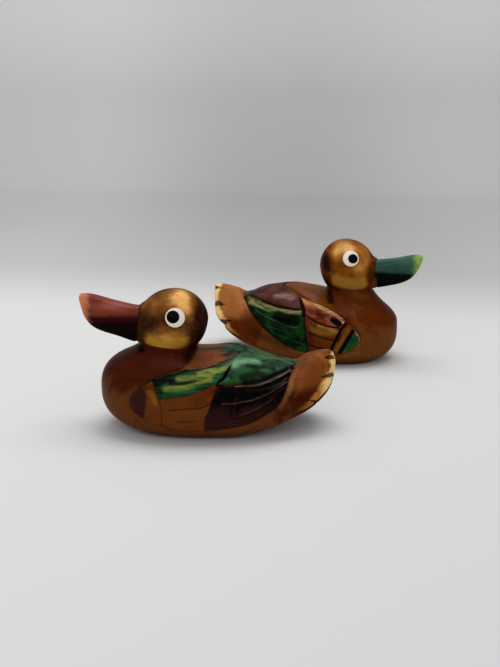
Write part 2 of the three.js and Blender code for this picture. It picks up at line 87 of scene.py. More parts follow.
GREEN_FORM = dict(
    tail=-79.5, breast=55.9, half_width=35.5, rear_plan=1.95, front_plan=1.9, breast_round=2.6,
    keel_round=3, breast_height=24.7, upper_round=2.3, lower_round=2.8,
    back=[(-79.5, 46), (-77.5, 46.8), (-74, 47.1), (-63, 45.3), (-55.7, 41.8), (-40, 47.8),
          (-18, 50.3), (0, 48.5), (20, 44.5), (60, 44.5)],
    rim=[(-79.5, 45.8), (-79, 37.8), (-76.7, 29.7), (-70.3, 23.6), (-60, 17.5), (-50, 15.5),
         (-20, 20), (0, 22), (60, 24.7)],
    keel=[(-79.5, 45.6), (-78.8, 37.1), (-76.7, 26.2), (-70.3, 20.4), (-60, 13), (-50, 8),
          (-40, 2.9), (-30, -0.2), (-15, -4), (60, -4)],
    head=dict(x=17.3, z=66.3, front=21.2, rear=17.6, side=17, above=19.3, below=19),
    neck=dict(low_x=27, low_r=25.5, low_side=19.5, high_x=20.7, high_r=15.5, high_side=13.6),
    cheek_edge=(50.8, 52.8), nape=(1.5, 49.7), chin=(38.6, 51.8), bill_tip=71.9,
    seam=((39.8, 72), (41, 54)),
    bill_top=[(20, 70.6), (36.3, 71.4), (50, 73.2), (67.9, 76.8), (70.7, 77), (71.9, 74.8)],
    bill_under=[(20, 52.3), (36.3, 52.3), (50, 55), (63.9, 60.5), (68.9, 66.5), (71.1, 71.8),
                (71.9, 74.6)],
    bill_width=[(20, 7.6), (36.3, 7.8), (50, 8.2), (60.9, 8.3), (66.9, 7.3), (70.4, 4.4),
                (71.9, 0.3)],
)

# The carved pattern, as (x, degrees) seen from a line along the body PATTERN_HEIGHT above the
# base. Each area is a list of lines joined end to end. Edges that several feathers share:
RED_WING_REAR = [(-37.5, -1), (-43.6, 9), (-46.6, 21), (-48.6, 35), (-50.7, 53)]
RED_SHOULDER_EDGE = [(11, 18), (4.3, 21), (-2.3, 25)]
RED_SHOULDER_REAR = [(-12.2, 36), (-14.5, 45), (-16.4, 52), (-18, 62)]
RED_QUILL_ROOTS = [(-5.8, 16), (-3.5, 5), (-1.2, -4)]
GREEN_SHOULDER_EDGE = [(-3.6, 33), (0.5, 28.5), (5.1, 24), (10, 21.2), (15.7, 20)]
GREEN_QUILL_ROOTS = [(-5, 34), (-3.6, 24), (-2, 14), (-0.7, 0)]
GREEN_LONG_EDGE = [(-54.2, 79), (-47, 63), (-38.5, 51), (-31, 44.5), (-25.3, 41), (-13.6, 37),
                   (-7, 37)]

# Besides the areas and cuts: nicks are (point, mouth, widening), gold spots are (weight, centre,
# radii), and strokes are (half-width, softness, strength, path), both with (x, y, z) places.
RED_PATTERN = dict(
    wing=[
        [(-26, 84), (-20.6, 74), (-17.5, 66), (-10.6, 55), (-4.8, 49), (1.6, 46), (8.8, 43),
         (13.3, 40), (19.9, 37), (24.4, 36), (29, 33), (33.4, 29), (37.1, 25), (40.5, 19),
         (41.6, 11), (41.2, 4), (38.4, -3), (34.1, -8), (29.6, -12.5), (22.7, -15.5), (11.5, -19),
         (2.6, -19), (-6.4, -17), (-13.7, -15), (-22.6, -13), (-28.5, -9.5), *RED_WING_REAR,
         (-53.4, 76)],
        [(-54, 96), (-54, 120), (-24, 120), (-24, 96)]],
    bars=[[(29, 34), (28, 32), (26.1, 23), (24.5, 15), (23.5, 6), (23.4, -2), (22.7, -15)]],
    patch=[[(33.6, 27), (31.7, 20), (31.6, 12), (32.3, 4), (33.6, -6), (36, -5), (39.3, 0),
        (41, 6), (41.3, 13), (39.6, 20), (36.6, 24.5), (33.6, 27)]],
    scapular=[
        [(23.6, 15.5), (17.7, 16.5), *RED_SHOULDER_EDGE, (-8.3, 29.5)],
        [(-8.6, 30), *RED_SHOULDER_REAR],
        [(-17.5, 68), (-10.6, 56), (-4.8, 50), (1.6, 47), (8.8, 44), (19.9, 38), (27.5, 34)],
        [(27.5, 31), (26.1, 23), (24.5, 15.5)]],
    tertial=[
        [(-8.8, 29.6), *RED_SHOULDER_REAR],
        [(-20.6, 76), (-26, 92), (-26, 120), (-56, 120), (-56, 86)],
        [(-51.9, 72), (-46, 55), (-39.6, 42), (-31.7, 33.5), (-22.7, 30.3), (-13.8, 29),
         (-8.8, 29)]],
    covert=[
        [(23.6, 15), (17.7, 16.5), *RED_SHOULDER_EDGE, (-8.3, 29.5)],
        [(-8.6, 29), *RED_QUILL_ROOTS, (-0.7, -22)],
        [(12, -24), (23, -18)],
        [(23.4, -2), (23.5, 6), (24.5, 15)]],
    primary=[
        [(-8.6, 29), *RED_QUILL_ROOTS, (-0.7, -19)],
        [(-6.4, -18), (-13.7, -16), (-22.6, -14), (-28.5, -10), *RED_WING_REAR, (-52, 68)],
        [(-51.5, 71), (-46, 54), (-39.6, 41), (-31.7, 32.5), (-22.7, 29.3), (-13.8, 28)]],
    back=[
        [(-12, 60), (-15, 67), (-9.5, 71), (-15, 75), (-8, 79), (-13, 83), (-4, 86), (5, 88),
         (7, 95), (7, 120)],
        [(-40, 120), (-27, 90), (-20.6, 74), (-14.5, 61)]],
    bar_band=[
        [(24.6, 15), (23.5, 6), (23.4, -2), (22.7, -18)],
        [(30, -16), (33.1, -6)],
        [(32.3, 8), (31.7, 17), (33.4, 27)],
        [(28, 33), (26.1, 23)]],
    lines=[
        [(21.9, 4), (11.2, 6), (2.2, 7), (-3.2, 10), (-6.9, 17)],
        [(15.8, -7), (9, -6.6), (3.4, -5)],
        [(-8.6, 29), *RED_QUILL_ROOTS, (-0.7, -16)],
        [(23.5, 15.6), (17.7, 16.8), *RED_SHOULDER_EDGE, (-8.1, 30)]],
    steps=[[(-9.2, 29.2), (-13.8, 29.2), (-22.7, 30.2), (-31.7, 33.5), (-39.6, 42), (-46, 55),
        (-50.5, 66)]],
    quills=[
        [(-16.6, 28.2), (-22.6, 27.6), (-34.5, 30), (-40.7, 35), (-47, 47), (-50, 57)],
        [(-10.8, 11), (-22.5, 12), (-31.6, 16), (-40.6, 25), (-46.9, 36)],
        [(-13.7, -3), (-22.5, 1), (-31.5, 6), (-38.7, 13)]],
    notch=[(-7.6, 27), (-8.6, 30), (-12.2, 36), (-14.5, 45), (-16.8, 53)],
    notch_widths=(0.45, 0.9, 1.15, 0.75, 0.15),
    mantle=[
        [(13.5, 41.3), (8.8, 45), (1.6, 48), (-4.8, 51), (-10.6, 57), (-14, 63)],
        [(-10, 68), (-15, 75), (-9, 80), (-14, 86), (-10, 92), (-10, 120), (1, 120)],
        [(2, 92), (4.2, 75), (7, 57), (9.9, 47), (13, 41.5)]],
    nicks=[((-68.9, 75.5), (-75.9, 83), 0.45), ((-67.9, 48.2), (-74.8, 58), 0.65),
           ((-59.4, 10.5), (-62.6, 7), 0.3)],
    # The spots on the crown are golden stain with a painted highlight at the top; the last spot,
    # on the bill's top, is a painted highlight.
    gold=[(0.9, (12.2, 7.8, 80), (6.6, 10, 5.4)), (0.35, (14.9, 12, 77.2), (6, 6, 6)),
          (0.45, (9.2, 12.1, 75.4), (4, 5, 6)), (0.22, (24.2, 6.9, 79.4), (8, 8, 6)),
          (0.4, (8.1, 14.5, 70.2), (3.5, 4, 6)), (0.3, (30, 8, 74), (7, 8, 6)),
          (0.5, (20, 16, 57.5), (10, 8, 6)), (0.35, (13.5, 16, 60.5), (5.5, 7, 4)),
          (0.6, (51, 6, 73.8), (10, 6, 2.2))],
    strokes=dict(
        dark=[
            (1.8, 3.6, 0.75, [(-22.6, 27.2, 37.3), (-31.2, 22.2, 38), (-39.2, 21.5, 35.2)]),
            (1.2, 2.4, 0.6, [(25.5, 30.6, 35.4), (20.8, 30.6, 37), (16.9, 30.7, 37.7)]),
            (0.6, 1.07, 0.8, [(27.4, 29.5, 36.6), (19.9, 29.3, 39.2), (11.3, 27.5, 40.9),
             (2.7, 24.2, 41.3), (-7.2, 20.6, 42.9), (-15.4, 14.5, 45.1)]),
            (0.6, 0.95, 0.7, [(18, 31.7, 35.7), (11.3, 31.8, 35.8), (3.9, 30.4, 36.7)]),
            (1.07, 1.19, 0.5, [(25.3, 30.8, 35.1), (24, 32.3, 31.7), (23, 33.2, 28.1)]),
            (1.31, 1.79, 0.75, [(-24.1, 29.1, 34.6), (-31.7, 25.9, 34.8), (-38, 21.6, 35.6),
             (-45.4, 15, 36.7), (-51.6, 7.3, 37.4)]),
            (2.08, 2.98, 0.5, [(-41.9, 7.1, 39.8), (-47, 8.4, 38.2)]),
            (1.79, 2.38, 0.7, [(-11, 33.3, 31), (-18.4, 32.8, 30.1), (-27.1, 30.9, 30),
             (-36, 26.6, 31.7)]),
            (0.89, 1.79, 0.5, [(-27, 32.9, 22.8), (-34.7, 30.1, 26.3), (-42.3, 25.7, 29.4)]),
            # Painted shade under the overhanging cheek edge.
            (0.8, 2.4, 0.4, [(19, 15.8, 48.4), (12, 15, 47.8), (5.6, 8.3, 47.2)]),
            (1.4, 3, 0.4, [(29.8, 13.1, 61.7), (29.1, 13.3, 65.2), (29.5, 12.8, 69)]),
            (1.79, 2.98, 0.7, [(-1.9, 3.8, 68.7), (0.6, 9, 60.2), (5.6, 8, 50), (9, 19.9, 44.9)]),
            # Painted shade under the chin.
            (1.19, 1.79, 0.9, [(35, 10.7, 48.8), (38.6, 0.6, 49)]),
            (2.08, 2.98, 0.45, [(30.7, 8.2, 74), (33.8, 9.5, 66.6), (33.9, 10, 57.8)]),
            (0.89, 1.49, 0.4, [(27.8, 13.6, 68.2), (25.8, 14.9, 66.1)])],
        olive=[
            (0.9, 2.1, 0.95, [(1.5, 26.5, 39.7), (-3.6, 24.7, 40.8), (-9.2, 24.7, 40.8),
             (-13.2, 22.7, 41.9)]),
            (0.7, 2.7, 0.75, [(20.3, 32.5, 33.1), (14.7, 32.9, 33.7), (8.7, 32.7, 34.1),
             (2.6, 30.9, 35.9), (-4.2, 29.4, 37.2)]),
            (0.7, 2.6, 0.7, [(13.6, 30.3, 38.1), (6.9, 29.3, 38.4), (0.4, 27.6, 38.9),
             (-5.8, 26.5, 39.6)])],
        pale=[
            (0.9, 1.8, 0.35, [(-50.3, 17.6, 33.8), (-48.9, 22.7, 29.6), (-47, 26.2, 24.9)]),
            # A painted highlight along the ridge where the wings meet.
            (0.24, 0.3, 0.7, [(-27.9, 0.4, 44.7), (-35.8, 3.4, 41.8), (-44.2, 0.2, 39.6),
             (-53, 5.6, 37.5)]),
            (0.18, 0.3, 0.35, [(-10.1, 29.9, 36.4), (-13.5, 27.3, 38.7), (-16, 22.3, 42),
             (-18.5, 16.5, 44.4), (-22.5, 9.7, 45.5)]),
            (0.36, 0.54, 0.55, [(8.9, 24.3, 42.6), (-1, 21.6, 42.4), (-9.7, 17.9, 43.9),
             (-16.1, 12, 45.7), (-20, 7.3, 46.3)]),
            (0.24, 0.36, 0.4, [(29.2, 29.5, 35.8), (35, 28.7, 33.2), (39.2, 28.1, 28.8)]),
            (0.71, 1.49, 0.4, [(-52.2, 14.4, 35.1), (-50.8, 20.3, 31.4), (-49.3, 24.7, 26.3)]),
            (0.6, 1.19, 0.3, [(-57.9, 9.7, 38), (-55.9, 18.8, 31), (-52.2, 24.2, 24.8)]),
            # A broad faint painted reflection down the front of the breast.
            (3, 9, 0.12, [(47, 22, 46), (50, 22, 36), (52, 20, 26)])],
        # Lighter lines along the primaries' ridges: partly rubbed paint, partly painted highlight.
        ridge_highlight_and_wear=[
            (0.48, 0.48, 0.9, [(-31.5, 27.5, 33.1), (-38, 23.5, 34.1), (-44.6, 18.1, 35.4),
             (-52.1, 10, 36.8)]),
            (0.24, 0.36, 0.8, [(-18.4, 31, 33.7), (-25.3, 29.7, 33.2), (-32.2, 27.2, 33)]),
            (0.24, 0.42, 0.5, [(-10.9, 34.9, 24.7), (-19, 34, 24.9), (-28.4, 32, 26.1),
             (-36.6, 28.6, 28.2), (-43, 24.5, 30.6), (-48.4, 19.7, 32.9)]),
            (0.24, 0.48, 0.35, [(-20.8, 34.1, 17.7), (-28.4, 32.8, 20.1), (-35.9, 30.5, 23.8),
             (-39.1, 29, 25.3)])],
        # Painted highlight: a pale haze of light across the long feathers.
        sheen=[
            (1.1, 3.8, 0.85, [(-17.1, 21.2, 42.5), (-20, 17.9, 43.8), (-24.6, 15.6, 43.6),
             (-31, 13.1, 42.1)]),
            (0.7, 3, 0.3, [(-33.6, 19.2, 38.8), (-38.2, 17.3, 38)])],
        gold_and_highlight_stroke=[
            (0.7, 3.2, 0.3, [(-49.4, 22.6, 29.5), (-46.8, 26.4, 24.5), (-43.9, 28.6, 20)]),
            (0.7, 3, 0.35, [(-66.8, 3.3, 43.6), (-71.8, 7, 39.8), (-71, 11, 33.8),
             (-68.4, 15.4, 26.8)]),
            (0.9, 2.6, 0.32, [(29.9, 31.1, 30.7), (27.6, 32.2, 28.3), (26.4, 32.7, 24.6)]),
            (2.4, 6, 0.85, [(29.5, 12.6, 54.2), (24, 14.9, 54), (17, 15.8, 54.2),
             (12.4, 15, 55)])],
        red=[
            (1.79, 2.38, 0.6, [(-3.6, 33.6, 31.3), (-6.7, 32.6, 32.9)])],
    ),
    bill_ridge=68.4, bill_fade=(-5, -2.2), bill_edge=(-1.4, 1.8), eye=(15.3, 16.2, 69.7),
    eye_radius=5.55, pupil=(16.5, 16.1, 70.1), pupil_radius=3.65,
)
GREEN_PATTERN = dict(
    wing=[
        [(-27.5, 84), (-20, 72), (-12.5, 61), (-5, 51.5), (1.9, 44), (13.3, 36), (23.3, 29.5),
         (28.8, 25), (33.1, 18), (35.2, 7), (33.3, -4), (28.4, -12), (20.1, -15.5), (8, -16),
         (-1.9, -13), (-11.8, -9), (-23.1, 0), (-35.2, 15), (-41.5, 26), (-46.9, 38), (-51, 52),
         (-55.4, 70)],
        [(-57, 90), (-57, 120), (-26, 120), (-26, 94)]],
    bars=[
        [(24.4, 28), (22.6, 18), (20.4, 8), (17.6, 0), (14.6, -10), (13.6, -15)],
        [(30.2, 15), (28, 8), (25.4, 0), (23, -6), (20.8, -12)]],
    patch=[[(30.6, 16.5), (28.2, 8), (25.6, 0), (22.6, -9), (24.5, -11.4), (28.6, -9.4),
        (32.3, -3), (33.9, 5), (33.2, 13), (31.6, 17)]],
    scapular=[
        [*GREEN_SHOULDER_EDGE, (22.3, 21.5)],
        [(24.2, 28), (23.3, 29.5), (13.3, 36), (1.9, 44), (-5, 51.5), (-12.3, 61)],
        [(-11.5, 58), (-8, 49), (-5.4, 41), (-4, 35)]],
    tertial=[
        [(-6.6, 37.5), (-8.8, 44), (-10.4, 51), (-12.5, 61)],
        [(-20, 73), (-27.5, 92), (-27, 120), (-58, 120), (-57, 84)],
        [*GREEN_LONG_EDGE]],
    covert=[
        [*GREEN_SHOULDER_EDGE, (22.3, 21.5)],
        [(22.6, 18), (20.4, 8), (17.6, 0), (13.6, -15)],
        [(8, -18), (0.3, -18)],
        [(-0.7, 0), (-2, 14), (-3.6, 30)]],
    primary=[
        [*GREEN_QUILL_ROOTS, (0.3, -14)],
        [(-1.9, -14), (-11.8, -10), (-23.1, -1), (-35.2, 14), (-41.5, 25), (-46.9, 37), (-51, 51),
         (-55, 68)],
        [*GREEN_LONG_EDGE]],
    back=[
        [(-12, 100), (-12, 120)],
        [(-16, 120), (-16, 100)]],
    bar_band=[
        [(25, 29), (22.6, 18), (20.4, 8), (15.1, -7), (12.8, -18)],
        [(20, -17), (22.6, -9), (25.4, 0), (30.2, 15), (31, 21)]],
    lines=[
        [(-1.6, 14), (2, 10.2), (5.9, 8), (11, 6), (19, 4.6)],
        [(-0.7, 1), (2.4, -2), (5.9, -4), (15.1, -7)],
        [*GREEN_QUILL_ROOTS, (0.3, -12)],
        [*GREEN_SHOULDER_EDGE, (22, 21.5)]],
    steps=[[(-6.6, 37.2), (-13.6, 37), (-25.3, 41), (-31, 44.5), (-38.5, 51), (-47, 63),
        (-52.5, 75)]],
    quills=[
        [(-6.8, 33.6), (-17.7, 33), (-30.9, 39), (-41, 50), (-50.3, 64)],
        [(-3.2, 17), (-16.6, 19), (-32.4, 29), (-40, 36), (-46.1, 43)],
        [(-0.9, -1), (-16.3, 4), (-26, 10), (-35.2, 18)]],
    notch=[(-4.2, 30), (-5.2, 36), (-7, 43), (-9.2, 51), (-12.5, 61)],
    notch_widths=(0.9, 1.5, 1.2, 0.7, 0.12),
    mantle=[
        [(15, 36.5), (13.3, 37.5), (1.9, 45.5), (-5, 53), (-12.5, 62.5), (-20, 74), (-27.5, 88),
         (-27.5, 120), (1, 120)],
        [(2, 92), (7, 74), (9.9, 65), (12.5, 55), (14.6, 40)]],
    nicks=[((-71.7, 80.8), (-78.7, 85), 0.35), ((-66.2, 51.8), (-75.4, 57), 0.65),
           ((-59.8, 20.8), (-66.7, 14), 0.35)],
    # The first two spots, on the crown, are golden stain with a painted highlight; the spot at x
    # 61, on the bill's top, is a painted highlight.
    gold=[(0.9, (22, 11.2, 80.1), (4.8, 6, 4)), (0.45, (16.4, 6.9, 83.9), (6, 9, 4)),
          (0.35, (30.3, 6.5, 79.7), (6, 7, 5)), (0.25, (12.5, 12.5, 78.3), (5, 7, 6)),
          (0.3, (29.9, 13.4, 69.1), (4, 6, 5)), (0.3, (18.2, 16.9, 64), (8, 8, 8)),
          (0.3, (25, 14.5, 56.5), (10, 8, 5)), (0.2, (28.5, 12.5, 66.5), (4, 6, 5)),
          (0.5, (30.5, 12.5, 59.5), (6, 7, 4.2)), (0.4, (13.5, 13, 78), (3.5, 5, 5)),
          (0.4, (61, 5, 73.5), (7, 6, 3)), (0.35, (33.9, 9.3, 71.5), (5, 6, 6))],
    strokes=dict(
        dark=[
            (1.8, 4.4, 0.62, [(3.4, 3.3, 77.4), (6.4, 12.2, 70.4), (7.2, 13, 66.5)]),
            (1, 3.2, 0.55, [(7, 12, 74), (8.4, 14, 70), (9.4, 15, 66)]),
            (2, 5, 0.45, [(-42.2, 29.5, 21.6), (-28.7, 32.9, 17.5), (-16.8, 34.3, 13.6)]),
            (2.19, 2.92, 0.55, [(-49.3, 5.1, 42.1), (-42.3, 9.9, 45.6), (-36.2, 5, 48.1)]),
            (0.58, 0.58, 1, [(-45.8, 12.6, 42.7), (-34.1, 22.7, 41.3), (-23.8, 26.9, 40.1),
             (-13.7, 28.8, 39.5), (-7.7, 28.9, 39.6)]),
            (2.92, 2.92, 0.85, [(-23.3, 30.7, 34.6), (-17.4, 32.6, 32.5), (-10, 33.4, 32.3)]),
            (0.45, 0.7, 0.75, [(-3.6, 32, 35.5), (-2.4, 34.8, 28.5), (-1.3, 35.5, 20.3),
             (-0.3, 34.7, 12.3)]),
            (0.45, 0.88, 0.55, [(-47.4, 21.8, 35.3), (-38.4, 29.2, 28.8), (-26.2, 33.3, 21.2),
             (-16.8, 34.4, 15.1)]),
            (1.31, 1.61, 0.4, [(-2.9, 28.8, 39.6), (2, 29.8, 38.2), (7.9, 29.7, 37.2),
             (14.4, 29.5, 35.6)]),
            (0.44, 0.58, 0.9, [(-3.5, 31.1, 36.9), (1, 32.6, 34.5), (6.5, 33.2, 32.3),
             (13.5, 33, 30.4), (20.8, 31.6, 29.4)]),
            (1, 4, 0.5, [(0.5, 35, 28), (1.2, 35.4, 20), (2, 34.6, 11)]),
            (0.36, 0.58, 0.8, [(0, 35.3, 25.9), (5.4, 35.2, 23.9), (11.1, 34.6, 22.3),
             (17.3, 33.4, 20.7)]),
            (0.36, 0.58, 0.7, [(0.2, 35.4, 17.4), (5.4, 34.9, 15), (11.1, 34.1, 14)]),
            (1.17, 1.31, 0.6, [(21.7, 32.2, 24.9), (20.2, 32.7, 20.8)]),
            (0.29, 0.36, 0.8, [(-25.1, 4.5, 49.8), (-12.1, 16.3, 47.7), (-1.1, 22.2, 44.2),
             (8.8, 23.2, 41.8), (17.5, 25.5, 38.3), (26.2, 27.3, 34.3)]),
            (1.82, 2.55, 0.75, [(7.2, 11.1, 55.5), (9, 10.6, 47.9), (11.4, 17.3, 43.5)]),
            # Painted shade along the overhanging cheek's lower edge.
            (1.31, 2.19, 0.55, [(7.8, 11.8, 54.5), (14.5, 14, 51.4)]),
            (1.82, 2.92, 0.5, [(2.1, 3.8, 74.9), (5.1, 12.1, 68.6)]),
            (1.82, 3.6, 0.6, [(36.4, 2, 74), (36.6, 8.6, 66.8), (37, 8.6, 58.7)])],
        black=[
            (1.7, 1.5, 1, [(16.4, 30, 34.3), (20.2, 30.4, 32.4)]),
            (0.8, 0.6, 0.95, [(25, 29, 32.5), (21.9, 31.7, 28.1), (18.9, 33, 21.4),
             (16.1, 33.1, 14.1)]),
            (1.1, 0.75, 0.95, [(29.8, 29.1, 27.2), (26.6, 30.6, 21.2), (21.6, 31.2, 11.7)])],
        olive=[
            (1.7, 1.6, 0.9, [(-46.6, 17.9, 39.4), (-37.4, 23.8, 39), (-29.9, 26.9, 38.2)]),
            (1.3, 1.8, 0.8, [(-29.9, 26.9, 38.2), (-18.9, 29.6, 37.8), (-7.8, 30.3, 38.3)]),
            (0.58, 0.88, 0.5, [(41, 5.9, 54.3), (40.7, 7.7, 59.8)])],
        pale=[
            (1.4, 1.8, 0.5, [(-5.5, 23.4, 44), (1, 23.9, 43.1), (8.8, 26.2, 40),
             (15.9, 26.7, 37.8)]),
            (0.8, 2.2, 0.45, [(-55.5, 13.5, 36.9), (-52, 19.6, 34.2)]),
            (1.02, 1.17, 0.5, [(-49.8, 11.8, 40.3), (-44.4, 18.4, 40.5)]),
            (1, 0.7, 0.95, [(-7.4, 20.8, 45.5), (-0.7, 23.2, 43.6), (5.5, 24.8, 41.7),
             (11.9, 26.2, 39.2), (17.9, 27.1, 36.9), (23.7, 28.9, 33.1)]),
            (0.44, 0.73, 0.5, [(31.7, 28.4, 26.2), (34.5, 27.1, 22.3), (34.4, 27, 17.3),
             (31.6, 27.9, 13.8)]),
            (0.36, 0.44, 0.5, [(-12, 17.5, 47.3), (-0.8, 23.2, 43.7), (8.9, 24, 41.3),
             (16.5, 26, 38.1), (22.8, 28.1, 34.6)])],
        # The first line, along the bill's upper side, is a painted reflection; the rest, along the
        # primaries' ridges, are partly rubbed paint and partly painted highlight.
        ridge_highlight_and_wear=[
            (0.3, 1.3, 0.55, [(45.9, 5.9, 69.9), (55.4, 5.9, 71.9), (63.6, 6.2, 73.2)]),
            (0.33, 0.44, 0.85, [(-47.6, 19.2, 37.7), (-39.3, 26, 35.2), (-32.2, 29.5, 32.7),
             (-22.2, 32.6, 30.5), (-14.6, 34.1, 28.4), (-7.8, 34.7, 28)]),
            (0.22, 0.44, 0.5, [(-31.6, 31.6, 26.9), (-23.1, 33.5, 25.6), (-14.4, 34.7, 24.1),
             (-3.4, 35.5, 22.2)]),
            (0.22, 0.44, 0.45, [(-28.1, 32.8, 23.2), (-19.9, 34.2, 21.3), (-9.4, 35.2, 18.4),
             (-1, 35.3, 16.3)]),
            (0.22, 0.44, 0.35, [(-26.6, 32.1, 29.2), (-17, 34.1, 27), (-7.1, 35.2, 24.9)])],
        # Painted highlight: a pale haze of light across the long feathers and the back.
        sheen=[
            (1.2, 4.5, 0.8, [(-27.1, 19.1, 45.6), (-20.1, 19.7, 46.4), (-15.5, 21.3, 45.5)])],
        gold_and_highlight_stroke=[
            (1.4, 3.7, 0.4, [(-75.1, 2.6, 45.6), (-70.9, 10.5, 37.2), (-64, 18.1, 27.7)]),
            (1.4, 2.6, 0.45, [(1.8, 35.1, 27.4), (9.6, 34.7, 25.8), (17.1, 33.3, 26.1)]),
            # Gold along the first covert's upper edge: partly a painted highlight.
            (0.6, 2, 0.6, [(6.7, 33.9, 30.7), (13.6, 33.4, 29.1), (19.4, 32.6, 27)]),
            (1, 2, 0.4, [(26.6, 29.6, 28.4), (23.6, 31.2, 22.4), (19.4, 32.2, 14)]),
            (0.4, 1.4, 0.3, [(-1.6, 33.9, 31.8), (2.2, 34.8, 28.8)]),
            (0.6, 4, 0.3, [(25, 29.5, 10), (33.1, 26.4, 11)]),
            (2.8, 4, 0.95, [(15, 15.5, 59), (22.9, 15.8, 56.8), (33, 11.8, 56.4)])],
        red=[
            (1.82, 2.19, 0.6, [(-36.2, 5, 48.1), (-28.8, 4.5, 49.4)]),
            (1.46, 1.82, 0.6, [(-39.8, 18.2, 43), (-28.7, 24.7, 41.1), (-18.9, 27.4, 40.5)]),
            (1.46, 2.19, 0.6, [(2.5, 35.4, 20.6), (7.2, 35, 17.9), (11.7, 34.3, 16.2)])],
    ),
    bill_ridge=64.9, bill_fade=(-1.2, 0.2), bill_edge=(-0.4, 1.5), eye=(24.2, 14.1, 74.8),
    eye_radius=5.5, pupil=(25.6, 13.9, 74.7), pupil_radius=3.35,
)

STROKE_KINDS = ("dark", "black", "olive", "pale", "ridge_highlight_and_wear", "sheen", "gold_and_highlight_stroke", "red")
AREAS = ("wing", "patch", "scapular", "tertial", "covert", "primary", "bar_band", "mantle", "back")

# Where each duck stands: x and y in mm, and its turn in degrees.
RED_PLACE = (-37.7, -71.3, 181.3)
GREEN_PLACE = (40.0, 66.1, -16.9)

# Soft limits of the blends between the carved masses, and where each mass starts and ends.
NECK_BLEND = 7.0
NAPE_BLEND = 1.2
NAPE_BLEND_START = 7.0
NAPE_BLEND_LENGTH = 12.0
HEAD_BLEND = 0.8
BILL_BLEND = 1.2
HEAD_LEAN = 0.15
CHEEK_ROUND = 2.7
NECK_FOOT = 30.0
NECK_HEAD = 52.0
NECK_OVERLAP = 6.0
NECK_ROUND = 2.2
CHEEK_BLEND = 0.4
CHEEK_START = 5.0
CHEEK_LENGTH = 32.0
BILL_BACK = 20.0
BILL_FACET = 0.42
BILL_FACET_CURVE = 1.25
BILL_ROUND = 1.6
SPINE_HEIGHT = 23.0
COLLAR_PROUD = 0.7
COLLAR_BLEND = 4.0
COLLAR_EDGE = 0.5
ROOF_START = -52.0
ROOF_END = -66.0
ROOF_ROUND = 1.5
HEAD_LOW = 48.0
TAIL_FRONT = -40.0
NICK_FRONT = -50.0
NICK_REACH = 14.0
NICK_DEEPENING = 0.42
NICK_LIFT = 1.5
NICK_BLEND = 0.3

# The skin is found along rays from each section's middle: their reach in mm, the steps along
# them, and how often the step that leaves the wood is halved.
RAY_REACH = 62.0
RAY_STEPS = 56
RAY_HALVINGS = 16
END_GAP = 0.03
# How far outside the body's own surface the skin still counts as body and not neck.
BODY_SKIN = 0.6

# Knife cuts: depth, and the widths of the slopes to the left and the right of the line.
WING_CUT = (1.25, 0.9, 2.4)
BILL_CUT = (0.75, 1.3, 1.1)
WING_EDGE_RISE = 0.45
NOTCH_DEPTH = 1.7
WINGS_MEET = -25.0
WING_SEAM_RISE = 0.35
PAINT_THICKNESS = 0.12
HAND_WAVE = 0.1
# Lines on the wing: the cut, the shares of its length over which it fades in and out, the least
# share of its depth at the ends, how much thinner its ink is there, how far it runs beside the
# drawn line, and the height of the ridge on that line.
WING_LINES = dict(
    bars=((0.8, 1.1, 1.1), None, 0, 0, 0, 0),
    lines=((0.75, 1.0, 1.3), (0.12, 0.88), 0.25, 0.35, 0, 0),
    steps=((1.1, 2.4, 0.7), (0.06, 0.9), 0, 0.35, 0, 0),
    quills=((0.7, 1.5, 1.3), (0.2, 0.9), 0, 0.5, 1.9, 0.4),
)

# The backdrop's front edge, half its width and the top of its wall, in metres.
FLOOR_FRONT = -1.6
FLOOR_SIDE = 1.8
WALL_TOP = 0.34


def smooth_curve(pairs):
    """A curve through (place, size) pairs: cubics whose slope at each pair is the weighted
    harmonic mean of the slopes on its two sides, so the curve never overshoots them."""
    xs, ys = np.array(pairs, float).T
    step = np.diff(xs)
    slope = np.diff(ys) / step
    before, after = slope[:-1], slope[1:]
    same_way = before * after > 0
    safe_before = np.where(before == 0, 1, before)
    safe_after = np.where(after == 0, 1, after)
    weight = (2 * step[1:] + step[:-1]) / safe_before + (step[1:] + 2 * step[:-1]) / safe_after
    tangent = np.empty_like(ys)
    tangent[1:-1] = np.where(same_way, 3 * (step[:-1] + step[1:]) / weight, 0)
    tangent[0], tangent[-1] = slope[0], slope[-1]

    def at(x):
        x = np.clip(x, xs[0], xs[-1])
        i = np.clip(np.searchsorted(xs, x) - 1, 0, len(step) - 1)
        t = (x - xs[i]) / step[i]
        rise = t * t * (3 - 2 * t)
        bend = step[i] * t * (1 - t) * ((1 - t) * tangent[i] - t * tangent[i + 1])
        return ys[i] + (ys[i + 1] - ys[i]) * rise + bend

    return at


def smooth_min(a, b, k):
    """The smaller of two distances, rounded off over a width k where they cross."""
    h = np.clip(0.5 + 0.5 * (b - a) / k, 0, 1)
    return b + (a - b) * h - k * h * (1 - h)


def smooth_step(low, high, value):
    """0 below low, 1 above high, and the cubic 3t^2 - 2t^3 between them."""
    t = np.clip((value - low) / (high - low), 0, 1)
    return t * t * (3 - 2 * t)


def rounded_box(u, v, w, h, power):
    """How far (u, v) lies outside the curve |u/w|^power + |v/h|^power = 1, along its ray."""
    scale = (np.abs(u / w) ** power + np.abs(v / h) ** power) ** (1 / power)
    radius = np.hypot(u, v)
    return radius - radius / np.maximum(scale, 1e-9)


